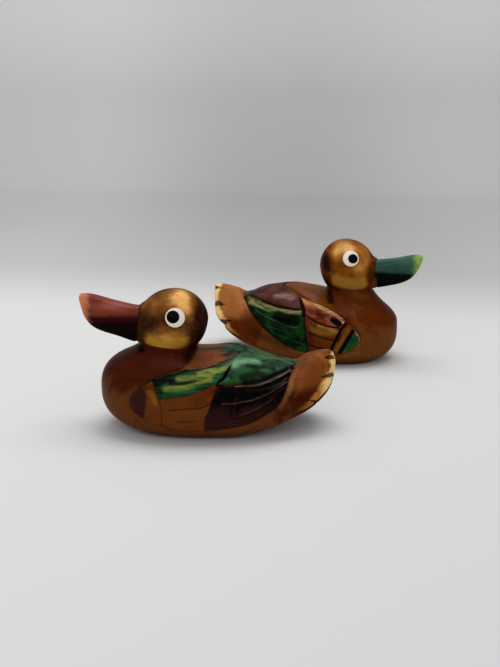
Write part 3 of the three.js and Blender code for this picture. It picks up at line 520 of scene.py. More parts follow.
class CarvedForm:
    """A duck as one signed distance in its own frame, less than zero inside the wood."""

    def __init__(self, sizes):
        self.s = sizes
        for name in ("back", "rim", "keel", "bill_top", "bill_under", "bill_width"):
            setattr(self, name, smooth_curve(sizes[name]))
        self.wedges = []

    def profile(self, x):
        """Top, bottom, half-width and rim height at x: towards the breast the heights close in
        on one height and the width on nothing along superellipses."""
        s = self.s
        forward = np.clip(x / s["breast"], 0, 1)
        mid = s["breast_height"]

        def closed(height, power):
            closing = np.maximum(1 - forward ** power, 1e-9) ** (1 / power)
            return np.where(x > 0, mid + (height - mid) * closing, height)

        top = closed(self.back(x), s["breast_round"])
        bottom = closed(self.keel(x), s["keel_round"])
        power = np.where(x < 0, s["rear_plan"], s["front_plan"])
        along = np.clip(np.where(x < 0, x / s["tail"], x / s["breast"]), 0, 1)
        width = s["half_width"] * np.maximum(1 - along ** power, 1e-9) ** (1 / power)
        middle = np.clip(self.rim(x), bottom + THIN, top - THIN)
        return top, bottom, np.maximum(width, THIN), middle

    def body(self, x, y, z):
        """A rounded box across each x, with its own roundness above and below the rim. Towards
        the tail's end the top turns into a flat-sided roof."""
        s = self.s
        top, bottom, width, middle = self.profile(x)
        above = z > middle
        height = np.maximum(np.where(above, top - middle, middle - bottom), THIN)
        roof = 1 - smooth_step(ROOF_END, ROOF_START, x)
        upper = s["upper_round"] + (ROOF_ROUND - s["upper_round"]) * roof
        power = np.where(above, upper, s["lower_round"])
        beyond = np.maximum(x - s["breast"], 0) + np.maximum(s["tail"] - x, 0)
        return rounded_box(y, z - middle, width, height, power) + beyond

    def neck(self, x, y, z):
        """A cone with rounded-box sections that leans back as it rises."""
        n = self.s["neck"]
        rise = np.clip((z - NECK_FOOT) / (NECK_HEAD - NECK_FOOT), 0, 1)
        centre = n["low_x"] + (n["high_x"] - n["low_x"]) * rise
        radius = n["low_r"] + (n["high_r"] - n["low_r"]) * rise
        side = n["low_side"] + (n["high_side"] - n["low_side"]) * rise
        beyond = np.maximum(NECK_FOOT - z, 0) + np.maximum(z - NECK_HEAD - NECK_OVERLAP, 0)
        return rounded_box(y, x - centre, side, radius, NECK_ROUND) + beyond

    def head(self, x, y, z):
        """An egg, longer in front, with fuller cheeks below, that runs forward over the bill's
        root as a collar and is cut off under the cheek edge."""
        h = self.s["head"]
        centre = h["x"] + HEAD_LEAN * np.clip(h["z"] - z, 0, 20)
        forward = 0.5 + 0.5 * np.clip((x - centre) / 2.5, -1, 1)
        length = h["rear"] + (h["front"] - h["rear"]) * forward
        power = np.where(z > h["z"], 2.0, CHEEK_ROUND)
        height = np.where(z > h["z"], h["above"], h["below"])
        plan = np.hypot((x - centre) / length, y / h["side"])
        scale = (plan ** power + np.abs((z - h["z"]) / height) ** power) ** (1 / power)
        radius = np.sqrt((x - centre) ** 2 + y ** 2 + (z - h["z"]) ** 2)
        ball = radius - radius / np.maximum(scale, 1e-9)
        collar = -smooth_min(COLLAR_PROUD - self.bill(x, y, z), self.seam_x(z) - x, COLLAR_EDGE)
        whole = smooth_min(ball, collar, COLLAR_BLEND)
        return -smooth_min(-whole, z - self.cheek_line(x), CHEEK_BLEND)

    def seam_x(self, z):
        """Where the head ends and the bill begins, at a height."""
        (upper_x, upper_z), (lower_x, lower_z) = self.s["seam"]
        return upper_x + (lower_x - upper_x) * (z - upper_z) / (lower_z - upper_z)

    def cheek_line(self, x):
        """Height of the cheek's lower edge at x."""
        nape_z, chin_z = self.s["cheek_edge"]
        return nape_z + (x - CHEEK_START) * (chin_z - nape_z) / CHEEK_LENGTH

    def bill(self, x, y, z):
        """A wedge with flat top and bottom and two facets a side that meet in a side ridge."""
        top, under = self.bill_top(x), self.bill_under(x)
        middle = (top + under) / 2
        height = np.maximum((top - under) / 2, THIN)
        width = np.maximum(self.bill_width(x), THIN)
        rise = np.clip(np.abs(z - middle) / height, 0, 1.5)
        ridge = width * (1 - BILL_FACET * rise ** BILL_FACET_CURVE)
        sides = (np.abs(y) - ridge) / np.hypot(1, 0.5 * width / height)
        flats = np.abs(z - middle) - height
        rounding = np.minimum(BILL_ROUND, 0.35 * np.minimum(width, height) + 0.05)
        beyond = np.maximum(x - self.s["bill_tip"], 0) + np.maximum(BILL_BACK - x, 0)
        return -smooth_min(-sides, -flats, rounding) + beyond

    def field(self, x, y, z):
        """The masses joined with soft blends, less the V nicks in the tail's rim."""
        softness = (x - self.s["nape"][0] - NAPE_BLEND_START) / NAPE_BLEND_LENGTH
        softness = np.clip(softness, 0, 1)
        blend = NAPE_BLEND + (NECK_BLEND - NAPE_BLEND) * softness
        d = smooth_min(self.body(x, y, z), self.neck(x, y, z), blend)
        d = smooth_min(d, self.head(x, y, z), HEAD_BLEND)
        d = smooth_min(d, self.bill(x, y, z), BILL_BLEND)
        if self.wedges:
            nick = self.nick(x, y, z)
            d = np.where(x < NICK_FRONT, -smooth_min(-d, nick, NICK_BLEND), d)
        return d

    def nick(self, x, y, z):
        """Distance outside the nearest V nick: each is a wedge that widens and deepens from
        its point out over the rim, and the two sides of the tail have the same ones."""
        nearest = np.full(np.shape(x), FAR)
        for at, onward, across, normal, widening in self.wedges:
            p = np.stack([x - at[0], np.abs(y) - at[1], z - at[2]], -1)
            along = p @ onward
            out = np.clip(along, 0, NICK_REACH) + 0.2
            spread = widening * out
            depth = NICK_DEEPENING * out
            open_part = np.clip((p @ normal + depth) / (NICK_LIFT + depth), 0, 1.6)
            beside = np.abs(p @ across) - spread * open_part
            nearest = np.minimum(nearest, beside + np.maximum(-along, 0))
        return nearest

    def normal(self, p):
        """The outward unit vector: the field's central differences over 0.3 mm, made unit."""
        x, y, z = p[..., 0], p[..., 1], p[..., 2]
        g = 0.15
        n = np.stack([self.field(x + g, y, z) - self.field(x - g, y, z),
                      self.field(x, y + g, z) - self.field(x, y - g, z),
                      self.field(x, y, z + g) - self.field(x, y, z - g)], -1)
        return n / np.maximum(np.linalg.norm(n, axis=-1, keepdims=True), 1e-9)

    def pattern_point(self, x, degrees):
        """The outermost place on the left side on the ray at an angle from the pattern line."""
        angle = np.radians(degrees)
        reach = np.linspace(RAY_REACH, 0, 621)
        y, z = reach * np.cos(angle), PATTERN_HEIGHT + reach * np.sin(angle)
        inside = self.field(np.full_like(reach, x), y, z) < 0
        r = reach[np.argmax(inside)]
        return np.array([x, r * np.cos(angle), PATTERN_HEIGHT + r * np.sin(angle)])

    def add_nicks(self, nicks):
        """Sets the V nicks, each from its point, its mouth and how fast it widens between."""
        wedges = []
        for tip, mouth, widening in nicks:
            at = self.pattern_point(*tip)
            onward = self.pattern_point(*mouth) - at
            onward /= np.linalg.norm(onward)
            normal = self.normal(at)
            across = np.cross(normal, onward)
            across /= np.linalg.norm(across)
            wedges.append((at, onward, across, normal, widening))
        self.wedges = wedges


def spread(length, steps, spacing):
    """Places from 0 to length whose gaps follow spacing(place): the running sum of 1/spacing is
    cut into equal parts."""
    fine = np.linspace(0, length, 4001)
    running = np.concatenate([[0], np.cumsum(1 / spacing((fine[1:] + fine[:-1]) / 2))])
    return np.interp(np.linspace(0, running[-1], steps), running, fine)


def turning_planes(pivot, turn, arms, bulge, t, way):
    """Section planes that turn about a pivot from one angle to another as t goes from 0 to 1.
    Their centres lie on an arm that eases from one length to another and bulges in between."""
    angle = turn[0] + (turn[1] - turn[0]) * t
    arm = arms[0] + (arms[1] - arms[0]) * smooth_step(0, 1, t) + bulge * np.sin(np.pi * t)
    cos, sin = np.cos(angle), np.sin(angle)
    return np.stack([pivot[0] + arm * cos, pivot[1] + arm * sin, way * cos, way * sin], 1)


def upright_planes(x, z):
    """Section planes across the duck, with their centres at (x, z)."""
    return np.stack([x, z, 0 * x, 0 * x + 1], 1)


def section_planes(form, counts):
    """Centres (x, z) and upward directions (x, z) of the section planes: upright along the
    body, turning about the nape up through the neck, turning back about the chin through the
    head, then upright along the bill."""
    s = form.s
    (nape_x, nape_z), (chin_x, chin_z) = s["nape"], s["chin"]
    link = np.arctan2(chin_z - nape_z, chin_x - nape_x)
    span = np.hypot(chin_x - nape_x, chin_z - nape_z)
    body, neck, head, bill = counts

    def body_gap(place):
        """Finest at the tail's rim, then even, and a little wider past the tail."""
        return np.clip(0.03 + 0.2 * place, 0.03, 0.42 + 0.13 * smooth_step(18, 30, place))

    start = s["tail"] + END_GAP
    x = start + spread(nape_x - s["tail"] - END_GAP, body + 1, body_gap)[:-1]
    top, bottom, _, _ = form.profile(x)
    lift = np.clip((x + 20) / (nape_x + 20), 0, 1)
    middle = (top + bottom) / 2
    planes = [upright_planes(x, middle + (SPINE_HEIGHT - middle) * lift)]

    t = spread(1.0, neck + 1, lambda v: 0.75 + 0.6 * smooth_step(0.6, 0.85, v))[:-1]
    planes.append(turning_planes(
        s["nape"], (-np.pi / 2, link), (nape_z - SPINE_HEIGHT, span / 2 + 0.5), 5.0, t, -1))

    bill_middle = (form.bill_top(chin_x) + form.bill_under(chin_x)) / 2
    planes.append(turning_planes(
        s["chin"], (link + np.pi, np.pi / 2), (span / 2 - 0.5, bill_middle - chin_z), 4.5,
        np.arange(head) / head, 1))

    length = s["bill_tip"] - END_GAP - chin_x

    def bill_gap(place):
        """Finer at the bill's root and tip than along it."""
        wide = smooth_step(2.5, 6, place) * (1 - smooth_step(length - 7, length, place))
        return 0.35 + 0.9 * wide - 0.25 * smooth_step(length - 2, length, place)

    x = chin_x + spread(length, bill, bill_gap)
    planes.append(upright_planes(x, (form.bill_top(x) + form.bill_under(x)) / 2))
    return np.concatenate(planes)


def carved_skin(form, counts, around):
    """Points of the skin on a grid of planes by rays: each ray in a plane is stepped along
    until it leaves the wood, and the crossing is halved down to a point. The rays lie closer
    over the back and wings than underneath."""
    plane = section_planes(form, counts)
    half = spread(np.pi, around // 2 + 1, lambda a: 1 + 1.5 * smooth_step(1.95, 2.4, a))
    angle = np.concatenate([half[:-1], 2 * np.pi - half[:0:-1]])
    cx, cz = plane[:, :1], plane[:, 1:2]
    dx, dz = plane[:, 2:3] * np.cos(angle), plane[:, 3:4] * np.cos(angle)
    dy = np.broadcast_to(np.sin(angle), dx.shape)
    low, high = np.zeros_like(dx), np.full_like(dx, RAY_REACH)
    found = np.zeros(dx.shape, bool)
    for reach in np.linspace(0, RAY_REACH, RAY_STEPS + 1)[1:]:
        outside = form.field(cx + reach * dx, reach * dy, cz + reach * dz) > 0
        high = np.where(outside & ~found, reach, high)
        found |= outside
        low = np.where(found, low, reach)
    for _ in range(RAY_HALVINGS):
        mid = (low + high) / 2
        inside = form.field(cx + mid * dx, mid * dy, cz + mid * dz) < 0
        low, high = np.where(inside, mid, low), np.where(inside, high, mid)
    reach = (low + high) / 2
    return np.stack([cx + reach * dx, reach * dy, cz + reach * dz], -1)


def smooth_line(points, per_span=6):
    """A line through points in the pattern plane (x, 30 mm times the angle in radians): cubic
    spans whose direction at each point is the chord between its neighbours."""
    p = np.array(points, float) * (1, np.radians(PATTERN_RADIUS))
    if len(p) < 3:
        return p
    ends = np.concatenate([[2 * p[0] - p[1]], p, [2 * p[-1] - p[-2]]])
    length = np.hypot(*np.diff(ends, axis=0).T)
    heading = (ends[2:] - ends[:-2]) / (length[1:] + length[:-1])[:, None]
    t = (np.arange(per_span) / per_span)[None, :, None]
    a, b = p[:-1, None], p[1:, None]
    span = length[1:-1, None, None]
    leaving, arriving = heading[:-1, None] * span, heading[1:, None] * span
    bend = t * (1 - t) * ((1 - t) * leaving - t * arriving)
    spans = a + (b - a) * t * t * (3 - 2 * t) + bend
    return np.concatenate([spans.reshape(-1, 2), p[-1:]])


def line_distance(line, place):
    """Distance to an open line, less than zero on its right-hand side, and how far along it
    the nearest point lies, from 0 to 1."""
    nearest = np.full(len(place), 1e6, np.float32)
    side = np.ones(len(place), np.float32)
    along = np.zeros(len(place), np.float32)
    spans = np.diff(line, axis=0)
    lengths = np.hypot(*spans.T)
    total, run = lengths.sum(), 0.0
    for start, span, length in zip(line[:-1], spans, lengths):
        q = place - start.astype(np.float32)
        t = np.clip((q @ span.astype(np.float32)) / length ** 2, 0, 1)
        d = np.hypot(*(q - t[:, None] * span.astype(np.float32)).T)
        closer = d < nearest
        nearest[closer] = d[closer]
        side[closer] = np.sign(span[0] * q[closer, 1] - span[1] * q[closer, 0])
        along[closer] = (run + t[closer] * length) / total
        run += length
    return nearest * np.where(side == 0, 1, side), along


def path_distance(path, point):
    """Distance in space to an open line of straight spans."""
    path = np.array(path, float)
    nearest = np.full(len(point), 1e6)
    for start, span in zip(path[:-1], np.diff(path, axis=0)):
        q = point - start
        t = np.clip(q @ span / (span @ span), 0, 1)
        nearest = np.minimum(nearest, np.linalg.norm(q - t[:, None] * span, axis=1))
    return nearest


def area_distance(pieces, place):
    """Distance to the edge of an area bounded by smooth lines joined end to end, more than
    zero inside it: a point is inside where a level ray from it crosses the edge an odd number
    of times."""
    edge = np.concatenate([smooth_line(piece) for piece in pieces])
    edge = np.concatenate([edge, edge[:1]])
    apart = np.hypot(*np.diff(edge, axis=0).T) > 1e-6
    nearest, _ = line_distance(edge[np.r_[True, apart]], place)
    inside = np.zeros(len(place), bool)
    for (ax, ay), (bx, by) in zip(edge[:-1], edge[1:]):
        if ay == by:
            continue
        spans = (ay > place[:, 1]) != (by > place[:, 1])
        crossing = ax + (place[:, 1] - ay) * (bx - ax) / (by - ay)
        inside ^= spans & (place[:, 0] < crossing)
    return np.where(inside, 1, -1) * np.abs(nearest)


def groove(d, depth, left, right):
    """A knife cut's depth at a signed distance from its line: a V whose two slopes have their
    own widths, with a slightly rounded bottom."""
    share = np.clip(1 - np.where(d > 0, d / left, -d / right), 0, 1)
    return -depth * share ** 1.25


def wing_cuts(pattern, place, wing):
    """Height of the knife work on the wing, and the distance to the nearest inked line: the
    wing's outline with its raised edge, then each line as a groove beside it and a ridge on it.
    Towards its ends a line grows shallower and its ink thinner."""
    edge = WING_EDGE_RISE * smooth_step(0.2, 2.2, wing) * np.exp(-np.maximum(wing, 0) / 9)
    height, ink = groove(wing, *WING_CUT) + edge, np.abs(wing)
    inside = smooth_step(-0.4, 0.4, wing)
    for kind, (cut, fade, least, blunt, beside, ridge) in WING_LINES.items():
        for line in pattern[kind]:
            d, t = line_distance(smooth_line(line), place)
            ends = smooth_step(0, fade[0], t) * smooth_step(1, fade[1], t) if fade else 1
            cross = ridge * np.exp(-(d / 0.9) ** 2) + groove(d - beside, *cut)
            height += inside * (least + (1 - least) * ends) * cross
            line_ink = np.abs(d - beside) + blunt * (1 - ends)
            ink = np.minimum(ink, np.where(wing > 0, line_ink, FAR))
    return height, ink


def rim_distance(form, x, side, z, middle):
    """Distance to the tail's rim, less than zero below it. The rim's points crowd towards the
    tail's end."""
    tail = form.s["tail"]
    rim_x = np.concatenate([tail + 12 * np.linspace(0, 1, 60) ** 2,
                            np.linspace(tail + 12.5, TAIL_FRONT + 2, 60)])
    _, _, width, height = form.profile(rim_x)
    rim = path_distance(np.stack([rim_x, width, height], 1), np.stack([x, side, z], 1))
    return np.where(x > TAIL_FRONT, VERY_FAR, np.where(z > middle, rim, -rim))


def duck_marks(form, pattern, skin):
    """The signed distances, in mm, that place the carving and the paint, and the height of the
    knife work along the surface normal."""
    x, y, z = skin.T
    side = np.abs(y)
    angle = np.arctan2(z - PATTERN_HEIGHT, side)
    place = np.stack([x, PATTERN_RADIUS * angle], 1).astype(np.float32)
    middle = form.profile(x)[3]
    on_body = form.body(x, y, z) < BODY_SKIN
    m = {name: np.where(on_body, area_distance(pattern[name], place), -FAR) for name in AREAS}
    wing = m["wing"]
    height, m["ink"] = wing_cuts(pattern, place, wing)

    d, t = line_distance(smooth_line(pattern["notch"]), place)
    half = np.interp(t, np.linspace(0, 1, 5), pattern["notch_widths"])
    m["notch"] = half - np.abs(d)
    open_part = np.clip(1.25 - np.abs(d) / np.maximum(half, 0.2), 0, 1)
    height -= NOTCH_DEPTH * open_part * np.clip(half, 0, 1)
    seam = np.where((wing > 0) & (x < WINGS_MEET), PATTERN_RADIUS * (np.pi / 2 - angle), FAR)
    height += WING_SEAM_RISE * np.exp(-(seam / 1.2) ** 2)

    m["rim"] = rim_distance(form, x, side, z, middle)
    m["nick"] = np.where(x < NICK_FRONT, form.nick(x, y, z), FAR)

    front = np.minimum(form.head(x, y, z), form.bill(x, y, z))
    rest = smooth_min(form.body(x, y, z), form.neck(x, y, z), NECK_BLEND)
    on_head = front < rest
    m["bill"] = np.where(rest < front, -FAR, x - form.seam_x(z))
    m["bill_side"] = z - pattern["bill_ridge"]
    m["bill_tip"] = form.s["bill_tip"] - x
    m["cheek"] = np.where(on_head, 1, -1) * np.minimum(np.abs(rest - front), VERY_FAR)
    m["cheek_up"] = z - form.cheek_line(x)
    height += groove(m["bill"], *BILL_CUT) * on_head
    for name in ("eye", "pupil"):
        eye_x, eye_y, eye_z = pattern[name]
        away = np.sqrt((x - eye_x) ** 2 + (z - eye_z) ** 2 + (side - eye_y) ** 2)
        m[name] = pattern[name + "_radius"] - away
        height += PAINT_THICKNESS * smooth_step(-0.3, 0.3, m[name]) * (side > 8)
    slow = np.sin(x / 7.3 + 1.3 * np.sin(z / 9.1)) * np.sin(side / 6.1 + z / 8.7 + 0.7)
    height += HAND_WAVE * slow
    return m, height


def lobe(place, centre, radii):
    """A soft spot: exp(-q^2), where q is the distance from its centre in radii."""
    q = sum(((p - c) / r) ** 2 for p, c, r in zip(place, centre, radii))
    return np.exp(-q)


def duck_shading(pattern, skin, m):
    """Adds to the marks where the stain was sprayed darker, the painted shade under the cheek and
    the chin, where the body grows darker towards its base, where the head was left golden with a
    painted highlight on the crown and the bill's top, and the brush strokes laid over the painted
    areas, some of them painted highlights and reflections, each from 0 to 1. A stroke is full
    strength within its half-width of its path and fades over its softness."""
    x, side, z = skin[:, 0], np.abs(skin[:, 1]), skin[:, 2]
    place = np.stack([x, side, z], 1)
    above_cheek = np.where(z > HEAD_LOW, smooth_step(-0.1, 0.5, m["cheek_up"]), 1)
    for kind in STROKE_KINDS:
        m[kind] = np.zeros(len(x))
        for half_width, softness, strength, path in pattern["strokes"].get(kind, ()):
            near = path_distance(path, place) - half_width
            share = strength * smooth_step(softness, -0.3 * softness, near)
            if kind == "gold_and_highlight_stroke":
                share = share * above_cheek
            m[kind] = 1 - (1 - m[kind]) * (1 - share)
    behind = smooth_step(-28, -42, x)
    m["high"] = smooth_step(20 - 12 * behind, 38 - 22 * behind, z)
    m["tail"] = smooth_step(-36, -60, x) * smooth_step(22.5, 33, z)
    m["foot"] = smooth_step(9, 0.5, z)
    gold = sum(weight * lobe((x, side, z), centre, radii)
               for weight, centre, radii in pattern["gold"])
    m["gold"] = np.clip(gold, 0, 1)


def grid_faces(rows, columns):
    """Corners and sizes of the faces of a grid closed round each row: quads between the rows,
    and a fan from an end point to the first row and to the last."""
    i, j = np.meshgrid(np.arange(rows - 1), np.arange(columns), indexing="ij")
    k = (j + 1) % columns
    quads = np.stack([i * columns + j, (i + 1) * columns + j, (i + 1) * columns + k,
                      i * columns + k], -1).reshape(-1, 4)
    j = np.arange(columns)
    k = (j + 1) % columns
    last = rows * columns
    tail_end = np.stack([np.full(columns, last), j, k], 1)
    bill_end = np.stack([np.full(columns, last + 1), (rows - 1) * columns + k,
                         (rows - 1) * columns + j], 1)
    corners = np.concatenate([quads.ravel(), tail_end.ravel(), bill_end.ravel()])
    return corners, np.concatenate([np.full(len(quads), 4), np.full(2 * columns, 3)])


def make_skin(name, form_sizes, pattern, place, carving):
    """The duck's skin as one closed mesh, standing in its place, with its marks as attributes."""
    form = CarvedForm(form_sizes)
    form.add_nicks(pattern["nicks"])
    counts = (carving.body_sections, carving.neck_sections, carving.head_sections,
              carving.bill_sections)
    grid = carved_skin(form, counts, carving.around)
    corners, sizes = grid_faces(*grid.shape[:2])
    skin = np.concatenate([grid.reshape(-1, 3), [grid[0].mean(0), grid[-1].mean(0)]])
    marks, height = duck_marks(form, pattern, skin)
    duck_shading(pattern, skin, marks)
    points = skin + form.normal(skin) * (carving.carving * height)[:, None]
    points[:, 2] = np.maximum(points[:, 2], 0)

    turn = np.radians(place[2])
    cos, sin = np.cos(turn), np.sin(turn)
    world = np.stack([place[0] + cos * points[:, 0] - sin * points[:, 1],
                      place[1] + sin * points[:, 0] + cos * points[:, 1], points[:, 2]], 1) * MM
    mesh = bpy.data.meshes.new(name)
    mesh.vertices.add(len(world))
    mesh.vertices.foreach_set("co", world.ravel().astype(np.float32))
    mesh.loops.add(len(corners))
    mesh.loops.foreach_set("vertex_index", corners.astype(np.int32))
    mesh.polygons.add(len(sizes))
    mesh.polygons.foreach_set("loop_start", np.concatenate([[0], np.cumsum(sizes)[:-1]]))
    mesh.polygons.foreach_set("use_smooth", np.ones(len(sizes), bool))
    mesh.update(calc_edges=True)
    mesh.validate()
    for mark, values in marks.items():
        layer = mesh.attributes.new(mark, "FLOAT", "POINT")
        layer.data.foreach_set("value", values.astype(np.float32))
    pattern_place = np.stack([skin[:, 0], PATTERN_RADIUS * np.arctan2(
        skin[:, 2] - PATTERN_HEIGHT, np.abs(skin[:, 1])), 20 * np.sign(skin[:, 1])], 1)
    layer = mesh.attributes.new("pattern", "FLOAT_VECTOR", "POINT")
    layer.data.foreach_set("vector", pattern_place.ravel().astype(np.float32))
    duck = bpy.data.objects.new(name, mesh)
    bpy.context.scene.collection.objects.link(duck)
    return duck


class Recipe:
    """A short way to write a material: each call adds one node and returns its output."""

    def __init__(self, name):
        self.material = bpy.data.materials.new(name)
        self.material.use_nodes = True
        self.tree = self.material.node_tree
        self.tree.nodes.clear()

    def node(self, kind, **settings):
        made = self.tree.nodes.new(kind)
        for key, value in settings.items():
            setattr(made, key, value)
        return made

    def feed(self, socket, value):
        if isinstance(value, bpy.types.NodeSocket):
            self.tree.links.new(value, socket)
        elif socket.type == "RGBA":
            socket.default_value = (*value[:3], 1)
        else:
            socket.default_value = value

    def place(self):
        return self.node("ShaderNodeTexCoord").outputs["Object"]

    def mark(self, name):
        """One of the marks kept on the mesh: a distance in mm or a share."""
        return self.node("ShaderNodeAttribute", attribute_name=name).outputs["Fac"]

    def split(self, vector):
        made = self.node("ShaderNodeSeparateXYZ")
        self.feed(made.inputs[0], vector)
        return made.outputs

    def math(self, operation, a, b=0.0, c=0.0):
        made = self.node("ShaderNodeMath", operation=operation)
        for socket, value in zip(made.inputs, (a, b, c)):
            self.feed(socket, value)
        return made.outputs[0]

    def add(self, a, b):
        return self.math("ADD", a, b)

    def times(self, a, b):
        return self.math("MULTIPLY", a, b)

    def less(self, a, b):
        return self.math("SUBTRACT", a, b)

    def scaled(self, value, factor, base):
        """The value times a factor, plus a base."""
        return self.math("MULTIPLY_ADD", value, factor, base)

    def step(self, value, low, high, bottom=0.0, top=1.0):
        """A smooth change from bottom to top while the value goes from low to high."""
        made = self.node("ShaderNodeMapRange", interpolation_type="SMOOTHSTEP")
        for key, item in zip(("Value", "From Min", "From Max", "To Min", "To Max"),
                             (value, low, high, bottom, top)):
            self.feed(made.inputs[key], item)
        return made.outputs["Result"]

    def mix(self, a, b, share, how="MIX"):
        made = self.node("ShaderNodeMix", data_type="RGBA", blend_type=how)
        self.feed(made.inputs["Factor"], share)
        self.feed(made.inputs[6], a)
        self.feed(made.inputs[7], b)
        return made.outputs[2]

    def browned(self, colour, least, share):
        """The colour darkened by a share, down to least in red and less in green and blue."""
        return self.mix(colour, (least, least * 0.65, least * 0.45), share, "MULTIPLY")

    def toned(self, colour, tone):
        """The colour times a grey tone."""
        grey = self.node("ShaderNodeCombineColor")
        for socket in grey.inputs:
            self.feed(socket, tone)
        return self.mix(colour, grey.outputs[0], 1.0, "MULTIPLY")

    def mapped(self, vector, scale=(1, 1, 1), turn=0.0):
        """Places stretched, so that a texture on them is longer where the scale is below 1."""
        made = self.node("ShaderNodeMapping")
        self.feed(made.inputs["Vector"], vector)
        made.inputs["Scale"].default_value = scale
        made.inputs["Rotation"].default_value = (0, 0, turn)
        return made.outputs[0]

    def noise(self, vector, scale, detail=3.0, rough=0.5, warp=0.0):
        """Noise with scale features in a metre, or in a mm of the pattern."""
        made = self.node("ShaderNodeTexNoise")
        for key, item in zip(("Vector", "Scale", "Detail", "Roughness", "Distortion"),
                             (vector, scale, detail, rough, warp)):
            self.feed(made.inputs[key], item)
        return made.outputs["Fac"]

    def finish(self, colour, roughness, height, bump, gloss):
        shader = self.node("ShaderNodeBsdfPrincipled")
        relief = self.node("ShaderNodeBump")
        relief.inputs["Strength"].default_value = bump
        relief.inputs["Distance"].default_value = MM
        self.feed(relief.inputs["Height"], height)
        self.feed(shader.inputs["Base Color"], colour)
        self.feed(shader.inputs["Roughness"], roughness)
        self.feed(shader.inputs["Normal"], relief.outputs[0])
        shader.inputs["Specular IOR Level"].default_value = gloss
        out = self.node("ShaderNodeOutputMaterial")
        self.tree.links.new(shader.outputs[0], out.inputs["Surface"])
        return self.material


class WoodRecipe(Recipe):
    """The material of a duck, with the textures its layers share: slow clouds, blotches about
    6 mm across, grain along the body, a ragged edge for paint, and haze and broken streaks that
    follow the carved pattern."""

    def __init__(self, name, turn):
        super().__init__(name)
        self.own = self.mapped(self.place(), turn=-np.radians(turn))
        self.pattern = self.node("ShaderNodeAttribute", attribute_name="pattern").outputs["Vector"]
        self.along, self.up, _ = self.split(self.pattern)
        self.cloud = self.noise(self.own, 55, 4, 0.6, 0.4)
        self.blotch = self.noise(self.mapped(self.own, (0.6, 1, 1)), 170, 5, 0.65)
        self.grain = self.noise(self.mapped(self.own, (0.05, 1, 1)), 700, 4, 0.6)
        self.ragged = self.scaled(self.noise(self.own, 900, 3, 0.6), 0.8, -0.4)
        self.loose = self.scaled(self.blotch, 0.5, -0.25)
        self.haze = self.noise(self.mapped(self.pattern, (0.1, 0.1, 1)), 0.9, 4, 0.55, 0.8)
        streak = self.noise(self.mapped(self.pattern, (0.16, 0.9, 1)), 1.0, 4, 0.62)
        self.broken = self.step(streak, 0.3, 0.62, 0.3, 1.1)

    def cover(self, colour, paint, mark, strength=1.0, soft=0.25, rough=1.0):
        """Paint over an area, whose edge is roughened by noise."""
        edge = self.scaled(self.ragged, rough, self.mark(mark))
        return self.mix(colour, paint, self.step(edge, -soft, soft, 0, strength))

    def brush(self, mark):
        """A stroke's mark, loosened by the blotches."""
        return self.add(self.mark(mark), self.times(self.loose, 0.5))


def stained(r, paint):
    """Bare stained wood: light below, deeper above, reddish in blotches, paler on the tail."""
    high = r.scaled(r.cloud, 3.2, r.less(r.mark("high"), 2.0))
    high = r.scaled(r.blotch, 0.8, high)
    stain = r.mix(paint.stain_light, paint.stain_deep, r.step(high, 0.1, 0.9))
    stain = r.mix(stain, paint.stain_red, r.step(r.blotch, 0.5, 0.78, 0, 0.6))
    tail = r.scaled(r.cloud, 1.0, r.less(r.mark("tail"), 0.5))
    pale = r.mix(paint.tail, paint.stain_red, r.step(r.blotch, 0.45, 0.8, 0, 0.5))
    return r.mix(stain, pale, r.step(tail, 0.1, 0.85))


def golden_head(r, paint, colour):
    """The head, dark to orange to gold where its gold spots are strong; at the top of the crown
    the gold is partly a painted highlight.
    """
    gold = r.scaled(r.cloud, 0.7, r.less(r.mark("gold"), 0.63))
    gold = r.scaled(r.blotch, 0.56, gold)
    head = r.mix(paint.head_shade, paint.head_orange, r.step(gold, -0.05, 0.45))
    head = r.mix(head, paint.head_gold, r.step(gold, 0.35, 1.0))
    head = r.mix(head, paint.stain_red, r.step(r.blotch, 0.5, 0.78, 0, 0.4))
    on_head = r.times(r.step(r.mark("cheek"), -0.05, 0.25), r.step(r.mark("cheek_up"), 0.2, 0.8))
    return r.mix(colour, head, on_head)


def painted_bill(r, paint, colour, fade, edge):
    """The bill, dark under its side ridge, lighter above it, lightest on top and at the tip. Its
    dark lower half is dark paint with painted shade on the facets that face down, its lighter
    upper side is partly painted light, and the gold spots lay a painted highlight on its top.
    """
    side = r.scaled(r.loose, 2.4, r.mark("bill_side"))
    bill = r.mix(paint.bill_under, paint.bill_middle, r.step(side, *fade))
    bill = r.mix(bill, paint.bill_upper, r.step(side, *edge))
    # Painted highlight on the bill's top where the gold spots reach it.
    bill = r.mix(bill, paint.bill_top, r.mark("gold"))
    tip = r.scaled(r.noise(r.own, 300, 3, 0.6), 7.0, r.mark("bill_tip"))
    bill = r.mix(bill, paint.bill_tip, r.step(tip, 11.5, 5.0, 0, 0.95))
    return r.mix(colour, bill, r.step(r.mark("bill"), -0.1, 0.3))


def brushed(r, paint, colour):
    """The brush strokes, from the lowest to the topmost. The haze strokes are painted highlight,
    the pale, ridge and some gold strokes partly painted highlight and reflection, and some dark
    strokes painted shade.
    """
    for kind, shade, strength, dry in (
            ("olive", paint.olive, 1.0, r.broken), ("gold_and_highlight_stroke", paint.cheek, 0.85, 1.0),
            ("red", paint.wine_red, 0.8, r.broken), ("sheen", paint.sheen, 0.8, r.broken),
            ("pale", paint.pale, 0.9, r.broken), ("ridge_highlight_and_wear", paint.worn_ridge, 0.9, r.broken)):
        share = r.times(r.step(r.brush(kind), 0.05, 0.95), strength)
        colour = r.mix(colour, shade, r.times(share, dry))
    colour = r.browned(colour, 0.1, r.step(r.brush("dark"), 0.02, 0.95))
    return r.mix(colour, paint.ink, r.step(r.mark("black"), 0.2, 0.6))


